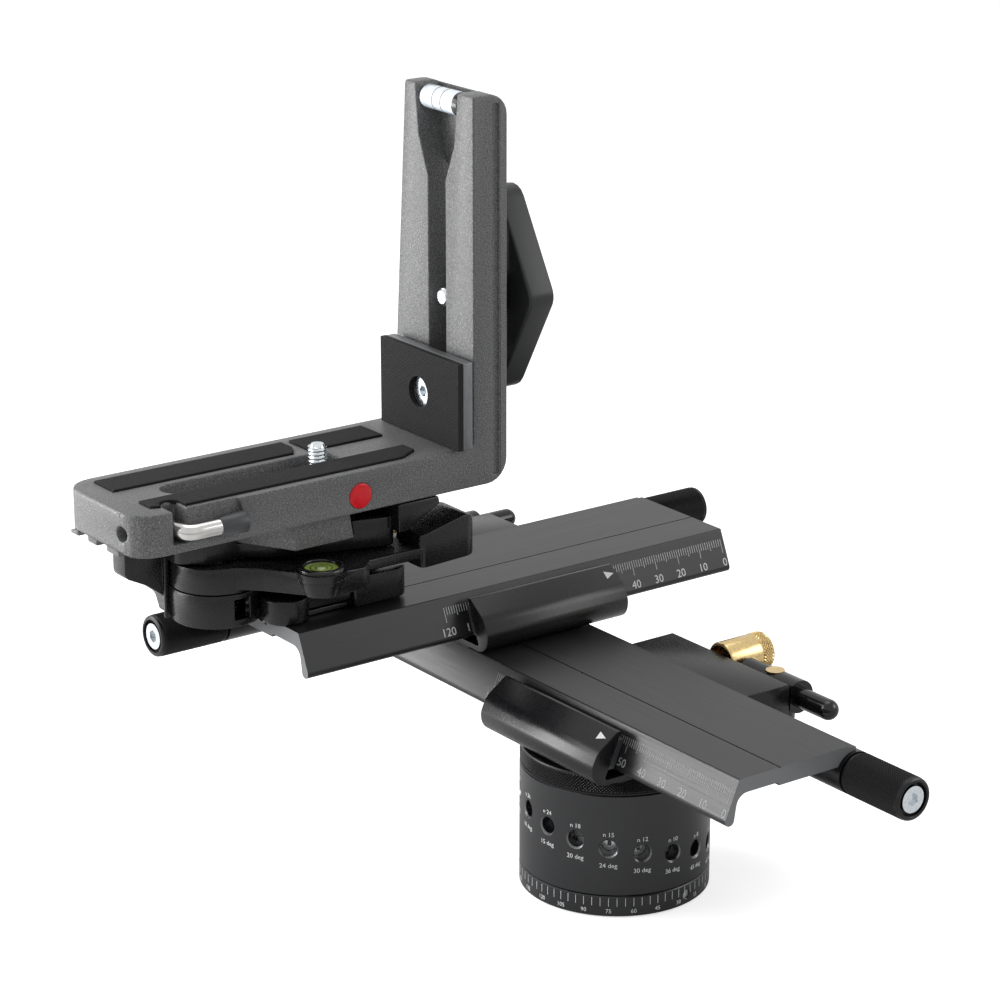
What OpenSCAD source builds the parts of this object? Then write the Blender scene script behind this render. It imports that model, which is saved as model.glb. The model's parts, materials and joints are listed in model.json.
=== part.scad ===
/* [Base and index drum] */
// Radius of the graduated ring, the drum and the platform disc
base_r = 31.5; // [29:0.5:36]
// Height of the graduated ring
ring_h = 7.3; // [6.5:0.1:9]
// Width of the graduated ring, from its bore to its rim
ring_w = 4; // [3:0.1:5]
// Height from the top of the graduated ring to the top of the drum
drum_h = 35.1; // [35:0.1:42]
// Wall of the drum
drum_wall = 4.5; // [3.5:0.1:6]
// Height of the platform disc
disc_h = 7.05; // [6.6:0.05:9]
// Radius of the tripod socket, for a 3/8 inch screw
socket_r = 4.76; // [4:0.01:6]
// Depth of the tripod socket
socket_depth = 14; // [10:0.5:16]
// Radius of the index holes in the drum
hole_r = 2.75; // [2:0.05:3.2]
// Angle from one index hole to the next
hole_step = 20.2; // [18:0.1:24]
// Fall of the helix of holes from one hole to the next, which is one detent ring
hole_drop = 1.96; // [1.8:0.02:2]
// Height of the first hole below the top of the drum
first_hole_depth = 4.46; // [4.4:0.02:5]
// Radius of the neck that the drum turns on
neck_r = 8; // [6:0.1:9]
// Depth of the notches in the detent rings
notch_depth = 1; // [0.6:0.05:1.3]
// Travel of the index plunger when it is pulled
plunger_travel = 3; // [2:0.1:4]

/* [Slides] */
// Length of each sliding plate
plate_len = 178.3; // [170:0.5:200]
// Width of each sliding plate from its fold to its rear edge
plate_w = 47.5; // [46:0.1:50]
// Thickness of each sliding plate beside its lip
plate_t = 4.9; // [4.5:0.1:5.4]
// Height from the bottom of a carriage to the top of its plate
stack_h = 18.45; // [18:0.05:20]
// Distance of the fold from the turning axis
fold_y = 17.76; // [17:0.02:19]
// Drop of the front lip below the top of the plate
lip_drop = 14.6; // [13:0.1:14.8]
// Distance that the lip reaches out from the fold
lip_out = 6.24; // [5:0.02:7]
// Thickness of the lip
lip_t = 4.2; // [3.5:0.1:5]
// Length of each carriage along its plate
carriage_len = 59.8; // [50:0.2:70]
// Scale mark of the lower plate at the right end of its carriage
lower_reading = 51.4; // [20:0.1:80]
// Scale mark of the upper plate at the right end of its carriage
upper_reading = 52.1; // [20:0.1:80]
// Distance from the zero mark to the end of the plate
zero_inset = 1.6; // [1:0.1:3]
// Centre line of the upper slide from the turning axis
upper_x = 78.68; // [74:0.02:82]
// Shift of the upper carriage along its slide
upper_y = 11.3; // [8:0.1:14]

/* [Lead screws, knobs and levers] */
// Outer radius of the screw channel, the bushes and the knobs
tube_r = 7.15; // [6.9:0.05:7.3]
// Wall of the screw channel
tube_wall = 1.95; // [1.5:0.05:2.2]
// Height of the lead screw's axis below the top of the plate
screw_drop = 9.15; // [9:0.05:9.6]
// Distance of the lead screw's axis in from the rear edge of the plate
screw_inset = 0.75; // [0.5:0.05:1]
// Radius of the lead screw
screw_r = 3.9; // [3.5:0.05:4.2]
// Radius of the journals at the ends of the lead screw
journal_r = 3; // [2.6:0.05:3.2]
// Length of each knurled knob
knob_len = 26; // [20:0.5:32]
// Length of each end bush
bush_len = 5.8; // [4:0.1:7]
// Length of a bush that stands out of its plate
bush_proud = 1.3; // [0.8:0.1:2]
// Radius of the brass clamp knob
clamp_knob_r = 6.7; // [6:0.1:7.5]
// Length of the brass clamp knob
clamp_knob_len = 18.8; // [16:0.2:24]
// Place of the brass clamp knob along the carriage
clamp_knob_x = -6.6; // [-9:0.1:-6]
// Height of the brass clamp knob's axis below the top of the plate
clamp_knob_drop = 4.8; // [4.7:0.05:5]
// Radius of the release lever's boss
boss_r = 5.7; // [5.4:0.05:5.9]
// Radius of the release lever's rod
rod_r = 3.5; // [3:0.1:4]
// Place of the release lever's pin along the carriage
lever_pin_x = 15.9; // [15:0.1:17]
// Place of the tip of the release lever along the carriage
lever_tip_x = 42.4; // [38:0.2:48]
// Distance of the half nut's tail from the release lever's pin
pull_arm = 8.9; // [8.6:0.1:9.2]
// Swing of the release lever in degrees
lever_swing = 5; // [3:0.5:5]

/* [Quick release clamp] */
// Radius of the lever hub and of the spring housing below it
hub_r = 15; // [14:0.1:16]
// Place of the lever's pivot across the upper plate, from the upper slide's centre line
pivot_x = -13.5; // [-15:0.1:-12]
// Place of the lever's pivot along the upper plate, from the upper carriage's centre
pivot_y = -106.3; // [-108:0.1:-104]
// Height of the spring housing
housing_h = 11.4; // [10:0.1:12]
// Height of the lever's hub
hub_h = 8.8; // [8:0.1:9.5]
// Height from the upper plate to the underside of the bracket
clamp_h = 36.65; // [36:0.05:40]
// Width across the flats of the quick release plate
hex_flats = 36; // [34:0.5:37]
// Height of the quick release plate
hex_h = 10; // [8:0.2:10.4]
// Radius of the torsion spring
coil_r = 8.4; // [7.5:0.1:9]
// Number of turns of the torsion spring
coil_turns = 4; // [3:1:5]

/* [Elbow bracket] */
// Width of the bracket
bracket_w = 46; // [44:0.2:50]
// Thickness of the bracket's plate
bracket_t = 14; // [13:0.2:16]
// Length of the bracket's plate, to the back of the arm
bracket_len = 143; // [140:0.5:160]
// Thickness of the arm
arm_t = 13.7; // [12:0.1:15]
// Height of the top of the arm above the underside of the bracket
arm_h = 131; // [128:0.5:150]
// Narrowing of the arm at its top
arm_taper = 7.8; // [4:0.1:10]
// Width of the camera screw's slot
slot_w = 10.3; // [9:0.1:11]
// Length of the camera screw's slot
slot_len = 66; // [60:0.5:70]
// Width of the slot in the arm
arm_slot_w = 9.7; // [9:0.1:11]
// Radius of the 1/4 inch camera screws
stud_r = 3.175; // [3:0.005:3.4]
// Height that the camera screw stands above the bracket's plate
stud_proud = 5; // [4:0.1:6]
// Height of the rubber pads above the bracket's plate
pad_proud = 0.6; // [0.4:0.1:1]
// Radius of the bent rod of the stop lever
stop_rod_r = 2.65; // [2.4:0.05:2.8]
// Width of the camera plate on the arm
camera_plate_w = 44.8; // [40:0.2:48]
// Height of the camera plate on the arm
camera_plate_h = 29.7; // [26:0.1:34]
// Half of the width of the diamond knob, at its virtual corners
diamond_w = 23.4; // [20:0.1:26]
// Half of the height of the diamond knob, at its virtual corners
diamond_h = 41.8; // [38:0.1:46]
// Thickness of the diamond knob
diamond_t = 10.3; // [9:0.1:12]
// Height of the diamond knob's axis above the underside of the bracket
diamond_z = 60.5; // [60:0.1:66]

/* [Clearances] */
// Gap between faces that move past each other
gap = 0.3; // [0.2:0.05:0.4]
// Radial clearance of a shaft that turns in its bore
run_fit = 0.05; // [0.03:0.01:0.08]
// Radial clearance of pieces that are fixed in each other
seat_fit = 0.02; // [0.01:0.01:0.04]
// Chamfer on turned edges
edge = 0.6; // [0.3:0.1:0.8]

/* [Hidden] */
$fn = 96;

// Overrun of every cut
over = 1;
// Segments of a rounded corner of an outline
corner_steps = 6;

black = "#222426";
casting = "#2e3032";
steel = "#b9bcc0";
brass = "#c9a24b";
rubber = "#1b1c1d";

// Base heights
drum_z0 = ring_h + gap;
drum_z1 = ring_h + drum_h;
platform_z = drum_z1 + disc_h;

// Detent rings, from the top one down, with the number of stops in a turn
divisions = [72, 60, 48, 40, 36, 24, 18, 15, 12, 10, 8, 6, 5, 4];
first_hole_angle = 176.6;
ring_count = len(divisions);
function hole_z(i) = drum_z1 - first_hole_depth - i * hole_drop;
function hole_angle(i) = first_hole_angle + i * hole_step;
detent_r = base_r - drum_wall - gap;
core_r = 14;
stack_z1 = hole_z(0) + hole_drop / 2;
stack_z0 = hole_z(ring_count - 1) - hole_drop / 2;
cavity_z1 = stack_z1 + gap;
socket_boss_r = 10;
socket_boss_h = socket_depth + 3;
washer_r = 12;
washer_t = 2;
neck_z1 = drum_z1 + seat_fit * 3;
pan_bolt_r = 3;
pan_head_r = 5;
pan_head_h = 3;
pan_bolt_len = 14;
screw_place = [14, 9];
platform_screw_r = 2;
platform_head_r = 3.4;
platform_head_h = 2;
platform_screw_len = 11;
set_screw_r = 1.7;
set_screw_angle = 10.1;
countersink = 0.6;

// Plunger
plunger_r = 1.5;
plunger_flange_r = 5;
plunger_flange_t = 2.5;
plunger_knob_r = 6;
plunger_knob_len = 12;
tip_len = 1.2;

// Slide section, in the lower slide's own place
plate_z = platform_z + stack_h;
rear_y = plate_w - fold_y;
plate_end = carriage_len / 2 + lower_reading + zero_inset;
axis_y = rear_y - screw_inset;
axis_z = plate_z - screw_drop;
lip_slope = lip_out / lip_drop;
strip_t = 3.1;
groove_r = tube_r + gap;
groove_w = 0.5;
groove_d = 0.35;
groove_front_u = 16;
groove_rear_u = 45.2;
web_t = 2.5;
thin_drop = 6;
step_drop = 0.8;
step_w = 2.8;
floor_z = platform_z + web_t;
rail_y0 = 13;
rail_y1 = 21;
rail_gap = 0.3;
rail_groove = 3;
rail_land = 6;
block_y0 = rear_y + gap;
block_y1 = 48.6;
block_z1 = plate_z - 1.1;
hook_w = 15.3;
hook_h = 17.9;
upper_shift = upper_reading - lower_reading;

// Half nut, release lever and clamp
lever_y = block_y1 + gap + boss_r;
lever_z = plate_z - 7.5;
nut_x = [1, 15];
nut_y = [31.2, 44];
nut_z = [54.3, 62.7];
nut_travel = pull_arm * sin(lever_swing);
tail_r = 1.6;
tail_head_r = 3;
tail_head_t = 1.6;
tail_x = lever_pin_x - pull_arm;
boss_flat = 3.8;
lever_pin_r = 2;
lever_pin_head_r = 3.2;
lever_pin_head_t = 0.9;
ledge_r = 7;
ledge_h = lever_z - boss_r - gap - platform_z;
clamp_axis_z = plate_z - clamp_knob_drop;
clamp_shank_r = 2.5;
pad_r = 2.8;
pad_y = [29.8, 39];
toe_len = 6.2;
toe_w = 3.6;
toe_z = [0.8, 2.1];
clamp_knob_gap = 1.4;
cup_depth = 7;
cup_wall = 1.3;

// Clamp and bracket places
upper_plate_z = plate_z + stack_h;
bracket_z = upper_plate_z + clamp_h;
bracket_top = bracket_z + bracket_t;
hub = [pivot_x - upper_x, pivot_y + upper_y];
hub_z0 = upper_plate_z + housing_h + gap;
hub_z1 = hub_z0 + hub_h;
deck_z = hub_z1 + gap * 2;
front_x = -60;
back_x = front_x - bracket_w;
slot_x = -80.5;
hex_place = [-84, -70];
hex_z0 = bracket_z - hex_h;
hex_taper = 1.5;
jaw_w = 9;
jaw_x = hex_place[0] - 6;
jaw_t = 6;
jaw_travel = 3;
coil_wire_r = 0.75;
coil_pitch = 2.1;
pivot_r = 4.5;
level_place = hub + [33.8, 19.3];
level_r = 7.7;
level_rim = 0.9;
vial_r = 5.8;

// Points of an arc from one angle to another
function arc(c, r, a0, a1, n = corner_steps) =
    [for (i = [0 : n]) let (a = a0 + (a1 - a0) * i / n) c + r * [cos(a), sin(a)]];

// Outline with each corner rounded by its own radius
function rounded(pts, radii, steps = corner_steps) =
    [for (i = [0 : len(pts) - 1])
        let (p = pts[i],
             q = pts[(i + len(pts) - 1) % len(pts)],
             s = pts[(i + 1) % len(pts)],
             u = (q - p) / norm(q - p),
             v = (s - p) / norm(s - p),
             half = acos(max(-1, min(1, u * v))) / 2,
             r = radii[i],
             c = p + (u + v) / norm(u + v) * (r / sin(half)),
             a0 = atan2((p + u * r / tan(half) - c)[1], (p + u * r / tan(half) - c)[0]),
             a1 = atan2((p + v * r / tan(half) - c)[1], (p + v * r / tan(half) - c)[0]),
             turn = ((a1 - a0 + 540) % 360) - 180)
        each r == 0 ? [p] : arc(c, r, a0, a0 + turn, steps)];

function same(r, n) = [for (i = [1 : n]) r];

// Solid of a section in the Y and Z axes, from x0 to x1
module along_x(x0, x1) {
    translate([x0, 0, 0])
        rotate([90, 0, 90])
            linear_extrude(x1 - x0)
                children();
}

// Solid of a section in the X and Z axes, from y0 to y1
module along_y(y0, y1) {
    translate([0, y1, 0])
        rotate([90, 0, 0])
            linear_extrude(y1 - y0)
                children();
}

// Solid of a plan outline, from z0 to z1
module along_z(z0, z1) {
    translate([0, 0, z0])
        linear_extrude(z1 - z0)
            children();
}

module rod_x(x0, x1, y, z, r) {
    translate([x0, y, z])
        rotate([0, 90, 0])
            cylinder(r = r, h = x1 - x0);
}

module rod_y(y0, y1, x, z, r) {
    translate([x, y0, z])
        rotate([-90, 0, 0])
            cylinder(r = r, h = y1 - y0);
}

module rod_z(z0, z1, x, y, r) {
    translate([x, y, z0])
        cylinder(r = r, h = z1 - z0);
}

// Box from its two corners
module block(a, b) {
    translate(a)
        cube(b - a);
}

// Turned disc with both edges chamfered
module turned(r, h, c = edge) {
    rotate_extrude()
        polygon([[0, 0], [r - c, 0], [r, c], [r, h - c], [r - c, h], [0, h]]);
}

// Helical tube with flat ends, made of rings along the helix
module helix(r, wire, pitch, turns, sides = 6, rings = 8) {
    count = turns * rings;
    rise = atan2(pitch, 2 * PI * r);
    points = [for (i = [0 : count], j = [0 : sides - 1])
        let (a = 360 * i / rings,
             b = 360 * j / sides,
             out = [cos(a), sin(a), 0],
             lift = [sin(a) * sin(rise), -cos(a) * sin(rise), cos(rise)])
        out * (r + wire * cos(b)) + lift * (wire * sin(b)) + [0, 0, pitch * i / rings]];
    faces = [
        for (i = [0 : count - 1], j = [0 : sides - 1])
            let (a = i * sides + j,
                 b = i * sides + (j + 1) % sides,
                 c = b + sides,
                 d = a + sides)
            each [[a, c, b], [a, d, c]],
        for (j = [1 : sides - 2]) [0, j, j + 1],
        for (j = [1 : sides - 2]) [count * sides, count * sides + j + 1, count * sides + j]];
    near = min([for (i = [0 : count - rings], j = [0 : sides - 1], k = [0 : sides - 1])
        norm(points[i * sides + j] - points[(i + rings) * sides + k])]);
    echo(least_gap_of_the_coil = near);
    polyhedron(points, faces);
}

// Base and index drum

module base_plate() {
    color(black)
        difference() {
            union() {
                turned(base_r - ring_w, ring_h);
                rod_z(0, socket_boss_h, 0, 0, socket_boss_r);
            }
            rod_z(-over, socket_depth, 0, 0, socket_r);
        }
}

module scale_ring() {
    color(black)
        difference() {
            translate([0, 0, gap])
                turned(base_r, ring_h - gap, edge / 2);
            rod_z(0, ring_h + over, 0, 0, base_r - ring_w + run_fit);
            rotate(set_screw_angle)
                rod_x(0, base_r + over, 0, ring_h / 2, set_screw_r + seat_fit);
        }
}

module ring_set_screw() {
    color(steel)
        rotate(set_screw_angle)
            rod_x(base_r - ring_w + gap, base_r - gap * 2, 0, ring_h / 2, set_screw_r);
}

module spindle() {
    color(steel)
        difference() {
            union() {
                rod_z(ring_h, stack_z0 - seat_fit, 0, 0, detent_r - gap);
                rod_z(ring_h, stack_z1, 0, 0, core_r);
                rod_z(ring_h, neck_z1, 0, 0, neck_r);
            }
            rod_z(0, socket_boss_h + seat_fit, 0, 0, socket_boss_r + seat_fit);
            rod_z(neck_z1 - pan_bolt_len, neck_z1 + over, 0, 0, pan_bolt_r + seat_fit);
        }
}

// One detent ring with its V notches
module detent_ring(stops) {
    difference() {
        rod_z(seat_fit - hole_drop / 2, hole_drop / 2 - seat_fit, 0, 0, detent_r);
        rod_z(-hole_drop, hole_drop, 0, 0, core_r + seat_fit);
        for (i = [0 : stops - 1])
            rotate(360 * i / stops)
                along_z(-hole_drop, hole_drop)
                    polygon([[detent_r - notch_depth, 0],
                             [detent_r + notch_depth / 2, notch_depth],
                             [detent_r + notch_depth / 2, -notch_depth]]);
    }
}

module index_rings() {
    color(steel)
        for (i = [0 : ring_count - 1])
            translate([0, 0, hole_z(i)])
                rotate(hole_angle(i))
                    detent_ring(divisions[i]);
}

module bearing_washer() {
    color(brass)
        difference() {
            rod_z(stack_z1 + seat_fit, cavity_z1 - seat_fit, 0, 0, washer_r);
            rod_z(stack_z1 - over, cavity_z1 + over, 0, 0, neck_r + gap);
        }
}

module retaining_washer() {
    color(steel)
        difference() {
            rod_z(neck_z1 + seat_fit, neck_z1 + washer_t, 0, 0, washer_r);
            rod_z(neck_z1 - over, neck_z1 + washer_t + over, 0, 0, pan_bolt_r + seat_fit);
        }
}

module pan_bolt() {
    color(steel)
        difference() {
            union() {
                rod_z(neck_z1 + washer_t + seat_fit, neck_z1 + washer_t + pan_head_h, 0, 0, pan_head_r);
                rod_z(neck_z1 - pan_bolt_len + over, neck_z1 + washer_t + pan_head_h, 0, 0, pan_bolt_r);
            }
            rod_z(neck_z1 + washer_t + pan_head_h / 2, neck_z1 + washer_t + pan_head_h + over,
                  0, 0, pan_bolt_r - edge, $fn = 6);
        }
}

// Places of the screws that join the drum, the disc and the lower carriage
module at_platform_screws() {
    for (sx = [-1, 1], sy = [-1, 1])
        translate([sx * screw_place[0], sy * screw_place[1], 0])
            children();
}

module index_drum() {
    color(black)
        difference() {
            translate([0, 0, drum_z0])
                turned(base_r, drum_z1 - drum_z0, edge / 2);
            rod_z(drum_z0 - over, cavity_z1, 0, 0, base_r - drum_wall);
            rod_z(cavity_z1 - over, drum_z1 + over, 0, 0, neck_r + run_fit);
            for (i = [0 : ring_count - 1])
                rotate(hole_angle(i)) {
                    rod_x(core_r, base_r + over, 0, hole_z(i), hole_r);
                    translate([base_r - countersink, 0, hole_z(i)])
                        rotate([0, 90, 0])
                            cylinder(r1 = hole_r, r2 = hole_r + countersink * 2, h = countersink * 2);
                }
            at_platform_screws() {
                rod_z(cavity_z1 - over, cavity_z1 + platform_head_h + gap, 0, 0, platform_head_r + gap);
                rod_z(cavity_z1, drum_z1 + over, 0, 0, platform_screw_r + seat_fit);
            }
        }
}

module plunger_bush() {
    color(brass)
        translate([0, 0, hole_z(0)])
            rotate(hole_angle(0))
                difference() {
                    union() {
                        rod_x(base_r - drum_wall + gap, base_r + over, 0, 0, hole_r - seat_fit);
                        rod_x(base_r + seat_fit, base_r + plunger_flange_t, 0, 0, plunger_flange_r);
                    }
                    rod_x(core_r, base_r * 2, 0, 0, plunger_r + run_fit);
                }
}

module plunger_pin() {
    tip_x = detent_r - notch_depth + gap;
    color(steel)
        translate([0, 0, hole_z(0)])
            rotate(hole_angle(0)) {
                rod_x(tip_x + tip_len, base_r + plunger_flange_t + plunger_knob_len / 2, 0, 0, plunger_r);
                translate([tip_x, 0, 0])
                    rotate([0, 90, 0])
                        cylinder(r1 = edge / 3, r2 = plunger_r / 2, h = tip_len);
            }
}

module plunger_knob() {
    color(black)
        translate([0, 0, hole_z(0)])
            rotate(hole_angle(0))
                difference() {
                    translate([base_r + plunger_flange_t + gap, 0, 0])
                        rotate([0, 90, 0])
                            turned(plunger_knob_r, plunger_knob_len);
                    rod_x(base_r, base_r + plunger_flange_t + plunger_knob_len / 2 + seat_fit, 0, 0,
                          plunger_r + seat_fit);
                }
}

module platform_disc() {
    color(black)
        difference() {
            translate([0, 0, drum_z1])
                turned(base_r, disc_h);
            rod_z(drum_z1 - over, platform_z + over, 0, 0, washer_r + gap);
            at_platform_screws()
                rod_z(drum_z1 - over, platform_z + over, 0, 0, platform_screw_r + seat_fit);
        }
}

module platform_screws() {
    head_z = cavity_z1 + platform_head_h + gap - seat_fit;
    color(steel)
        at_platform_screws()
            difference() {
                union() {
                    rod_z(head_z - platform_head_h, head_z, 0, 0, platform_head_r);
                    rod_z(head_z - over, platform_z + platform_screw_len - over, 0, 0, platform_screw_r);
                }
                rod_z(head_z - platform_head_h - over, head_z - platform_head_h / 2, 0, 0,
                      platform_screw_r - edge / 2, $fn = 6);
            }
}

// Slide pieces, in the lower slide's place

// Section of the sliding plate
module plate_section() {
    under = plate_z - plate_t;
    thin = plate_z - thin_drop;
    lip_z = plate_z - lip_drop;
    difference() {
        union() {
            polygon(rounded(
                [[-fold_y, plate_z],
                 [rear_y - step_w, plate_z],
                 [rear_y - step_w, plate_z - step_drop],
                 [rear_y, plate_z - step_drop],
                 [rear_y, thin],
                 [groove_front_u - fold_y, thin],
                 [groove_front_u - fold_y - edge, under],
                 [-fold_y - lip_slope * plate_t + lip_t * 0.4, under],
                 [-fold_y - lip_out + lip_t, lip_z],
                 [-fold_y - lip_out, lip_z]],
                [edge, 0, 0, 0, 0, 0, 0, lip_t, lip_t * 0.4, lip_t * 0.4]));
            translate([axis_y, axis_z])
                circle(r = tube_r);
        }
        translate([axis_y, axis_z])
            circle(r = tube_r - tube_wall);
        translate([rear_y, axis_z - tube_r * 2])
            square([tube_r * 2, tube_r * 4]);
        translate([axis_y - tube_r * 2, axis_z - tube_r * 2])
            square([tube_r * 4, tube_r * 2 - (axis_z - floor_z - gap * 1.5)]);
        for (u = [groove_front_u, groove_rear_u])
            translate([u - fold_y, plate_z - groove_d])
                square([groove_w, over]);
    }
}

module slide_plate(shift) {
    x1 = plate_end + shift;
    x0 = x1 - plate_len;
    color(black)
        difference() {
            along_x(x0, x1)
                plate_section();
            for (x = [x0 - over, x1 - bush_len + bush_proud])
                rod_x(x, x + bush_len - bush_proud + over, axis_y, axis_z, tube_r + seat_fit);
        }
}

module end_bushes(shift) {
    x1 = plate_end + shift + bush_proud;
    x0 = x1 - plate_len - bush_proud * 2;
    color(black)
        for (x = [x0, x1 - bush_len])
            difference() {
                rod_x(x, x + bush_len, axis_y, axis_z, tube_r);
                rod_x(x - over, x + bush_len + over, axis_y, axis_z, journal_r + run_fit);
            }
}

knob_gap = 0.2;
knob_recess_r = 5.5;
knob_recess = 2.2;
knob_web = 2.8;
end_screw_r = 2;
end_head_r = 4.4;
end_head_h = 1.8;
end_screw_len = 12;

module lead_screw(shift) {
    x1 = plate_end + shift + bush_proud;
    x0 = x1 - plate_len - bush_proud * 2;
    reach = knob_gap + knob_len - knob_recess - knob_web;
    color(steel)
        difference() {
            union() {
                rod_x(x0 + bush_len + gap, x1 - bush_len - gap, axis_y, axis_z, screw_r);
                rod_x(x0 - reach, x1 + reach, axis_y, axis_z, journal_r);
            }
            rod_x(x0 - reach - over, x0 - reach + end_screw_len, axis_y, axis_z, end_screw_r + seat_fit);
            rod_x(x1 + reach - end_screw_len, x1 + reach + over, axis_y, axis_z, end_screw_r + seat_fit);
        }
}

// One knurled knob that points along +X from the origin
module screw_knob() {
    difference() {
        rotate([0, 90, 0])
            turned(tube_r, knob_len);
        rod_x(knob_len - knob_recess, knob_len + over, 0, 0, knob_recess_r);
        rod_x(-over, knob_len - knob_recess - knob_web + seat_fit, 0, 0, journal_r + seat_fit);
        rod_x(0, knob_len, 0, 0, end_screw_r + seat_fit);
    }
}

// The same piece at each end of the lead screw
module at_screw_ends(shift) {
    x1 = plate_end + shift + bush_proud + knob_gap;
    x0 = x1 - plate_len - (bush_proud + knob_gap) * 2;
    translate([x1, axis_y, axis_z])
        children();
    translate([x0, axis_y, axis_z])
        rotate([0, 0, 180])
            children();
}

module screw_knobs(shift) {
    color(black)
        at_screw_ends(shift)
            screw_knob();
}

module knob_screws(shift) {
    head_x = knob_len - knob_recess + seat_fit;
    color(steel)
        at_screw_ends(shift)
            difference() {
                union() {
                    rod_x(head_x, head_x + end_head_h, 0, 0, end_head_r);
                    rod_x(head_x - end_screw_len, head_x + end_head_h, 0, 0, end_screw_r);
                }
                translate([head_x + end_head_h / 3, 0, 0])
                    rotate([0, 90, 0])
                        cylinder(r = end_head_r / 2, h = end_head_h, $fn = 6);
            }
}

// Corners of the hook's outline outside, as shares of its reach from the fold and of its height,
// and the share of its reach that rounds each of them
hook_shares = [[0.353, -0.031], [0.86, -0.335], [1, -0.6], [0.97, -1], [0.15, -1]];
hook_round_shares = [0, 0.5, 0.3, 0.36, 0];

// Section of the carriage without the rear block's holes
module carriage_section() {
    strip_in = gap + strip_t + seat_fit;
    hook_top = -hook_h * 0.031;
    hook_floor = floor_z - plate_z;
    difference() {
        union() {
            translate([-fold_y, plate_z])
                polygon(rounded(concat(
                    [for (s = hook_shares) [-s[0] * hook_w, s[1] * hook_h]],
                    [[-0.15 * hook_w, hook_floor],
                     [(hook_floor + edge) * lip_slope - strip_in + edge, hook_floor],
                     [(hook_floor + edge) * lip_slope - strip_in, hook_floor + edge],
                     [hook_top * lip_slope - strip_in, hook_top]]),
                    concat(hook_w * hook_round_shares, [0, 0, 0, edge]), 12));
            polygon([[-fold_y - hook_w * 0.3, platform_z],
                     [block_y1 - edge, platform_z],
                     [block_y1, platform_z + edge],
                     [block_y1, block_z1 - edge],
                     [block_y1 - edge, block_z1],
                     [block_y0, block_z1],
                     [block_y0, floor_z],
                     [-fold_y - hook_w * 0.3, floor_z]]);
            polygon([[-rail_y0, platform_z],
                     [rail_y1, platform_z],
                     [rail_y1, plate_z - thin_drop - rail_gap],
                     [rail_y1 - rail_land, plate_z - thin_drop - rail_gap],
                     [rail_y1 - rail_land, plate_z - thin_drop - rail_groove],
                     [rail_land - rail_y0, plate_z - thin_drop - rail_groove],
                     [rail_land - rail_y0, plate_z - thin_drop - rail_gap],
                     [-rail_y0, plate_z - thin_drop - rail_gap]]);
        }
        translate([axis_y, axis_z])
            circle(r = groove_r);
    }
}

module carriage(screwed) {
    color(black)
        difference() {
            union() {
                along_x(-carriage_len / 2, carriage_len / 2)
                    carriage_section();
                rod_z(platform_z, platform_z + ledge_h, lever_pin_x, lever_y, ledge_r);
                block([lever_pin_x - ledge_r, block_y1 - over, platform_z],
                      [lever_pin_x + ledge_r, lever_y, platform_z + ledge_h]);
            }
            block([nut_x[0] - gap, axis_y, nut_z[0] - gap],
                  [nut_x[1] + gap, nut_y[1] + nut_travel + gap, nut_z[1] + gap]);
            rod_y(axis_y, block_y1 + over, tail_x, lever_z, tail_r + gap);
            rod_y(axis_y, pad_y[1] + over * 3, clamp_knob_x, clamp_axis_z, pad_r + gap);
            rod_y(axis_y, block_y1 + over, clamp_knob_x, clamp_axis_z, clamp_shank_r + run_fit);
            rod_z(platform_z + over, lever_z, lever_pin_x, lever_y, lever_pin_r + seat_fit);
            if (screwed)
                at_platform_screws()
                    rod_z(platform_z - over, platform_z + platform_screw_len, 0, 0,
                          platform_screw_r + seat_fit);
        }
}

module glide_strip() {
    top = -4;
    bottom = -13.2;
    color("#3a3d40")
        along_x(gap * 3 - carriage_len / 2, carriage_len / 2 - gap * 3)
            translate([-fold_y, plate_z])
                polygon([[top * lip_slope - gap, top],
                         [top * lip_slope - gap - strip_t, top],
                         [bottom * lip_slope - gap - strip_t, bottom],
                         [bottom * lip_slope - gap, bottom]]);
}

module half_nut() {
    color(brass)
        difference() {
            union() {
                block([nut_x[0], nut_y[0], nut_z[0]], [nut_x[1], nut_y[1], nut_z[1]]);
                rod_y(nut_y[1] - over, lever_y + boss_flat + gap * 2 + over, tail_x, lever_z, tail_r);
                rod_y(lever_y + boss_flat + gap * 2, lever_y + boss_flat + gap * 2 + tail_head_t,
                      tail_x, lever_z, tail_head_r);
            }
            rod_x(nut_x[0] - over, nut_x[1] + over, axis_y, axis_z, screw_r + gap);
        }
}

module release_lever() {
    x0 = tail_x - 4.4;
    x1 = lever_pin_x + 12.6;
    color(black)
        difference() {
            union() {
                rod_x(x0, x1, lever_y, lever_z, boss_r);
                rod_x(x1 - over, lever_tip_x, lever_y, lever_z, rod_r);
                translate([lever_tip_x, lever_y, lever_z])
                    sphere(r = rod_r);
            }
            rod_z(lever_z - boss_r - over, lever_z + boss_r + over, lever_pin_x, lever_y,
                  lever_pin_r + run_fit);
            rod_z(lever_z + boss_r - lever_pin_head_t, lever_z + boss_r + over, lever_pin_x, lever_y,
                  lever_pin_head_r + gap);
            rod_y(lever_y - boss_r - over, lever_y + boss_r + over, tail_x, lever_z, tail_r + gap * 3);
            block([x0 - over, lever_y + boss_flat, lever_z - boss_r],
                  [tail_x + tail_head_r + over, lever_y + boss_r + over, lever_z + boss_r]);
            along_z(lever_z - boss_r - over, lever_z + boss_r + over)
                polygon([[lever_pin_x, lever_y - boss_r - over],
                         [lever_pin_x, lever_y - boss_r],
                         [x1 + over, lever_y - boss_r + 13 * sin(lever_swing + 2)],
                         [x1 + over, lever_y - boss_r - over]]);
        }
}

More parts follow.
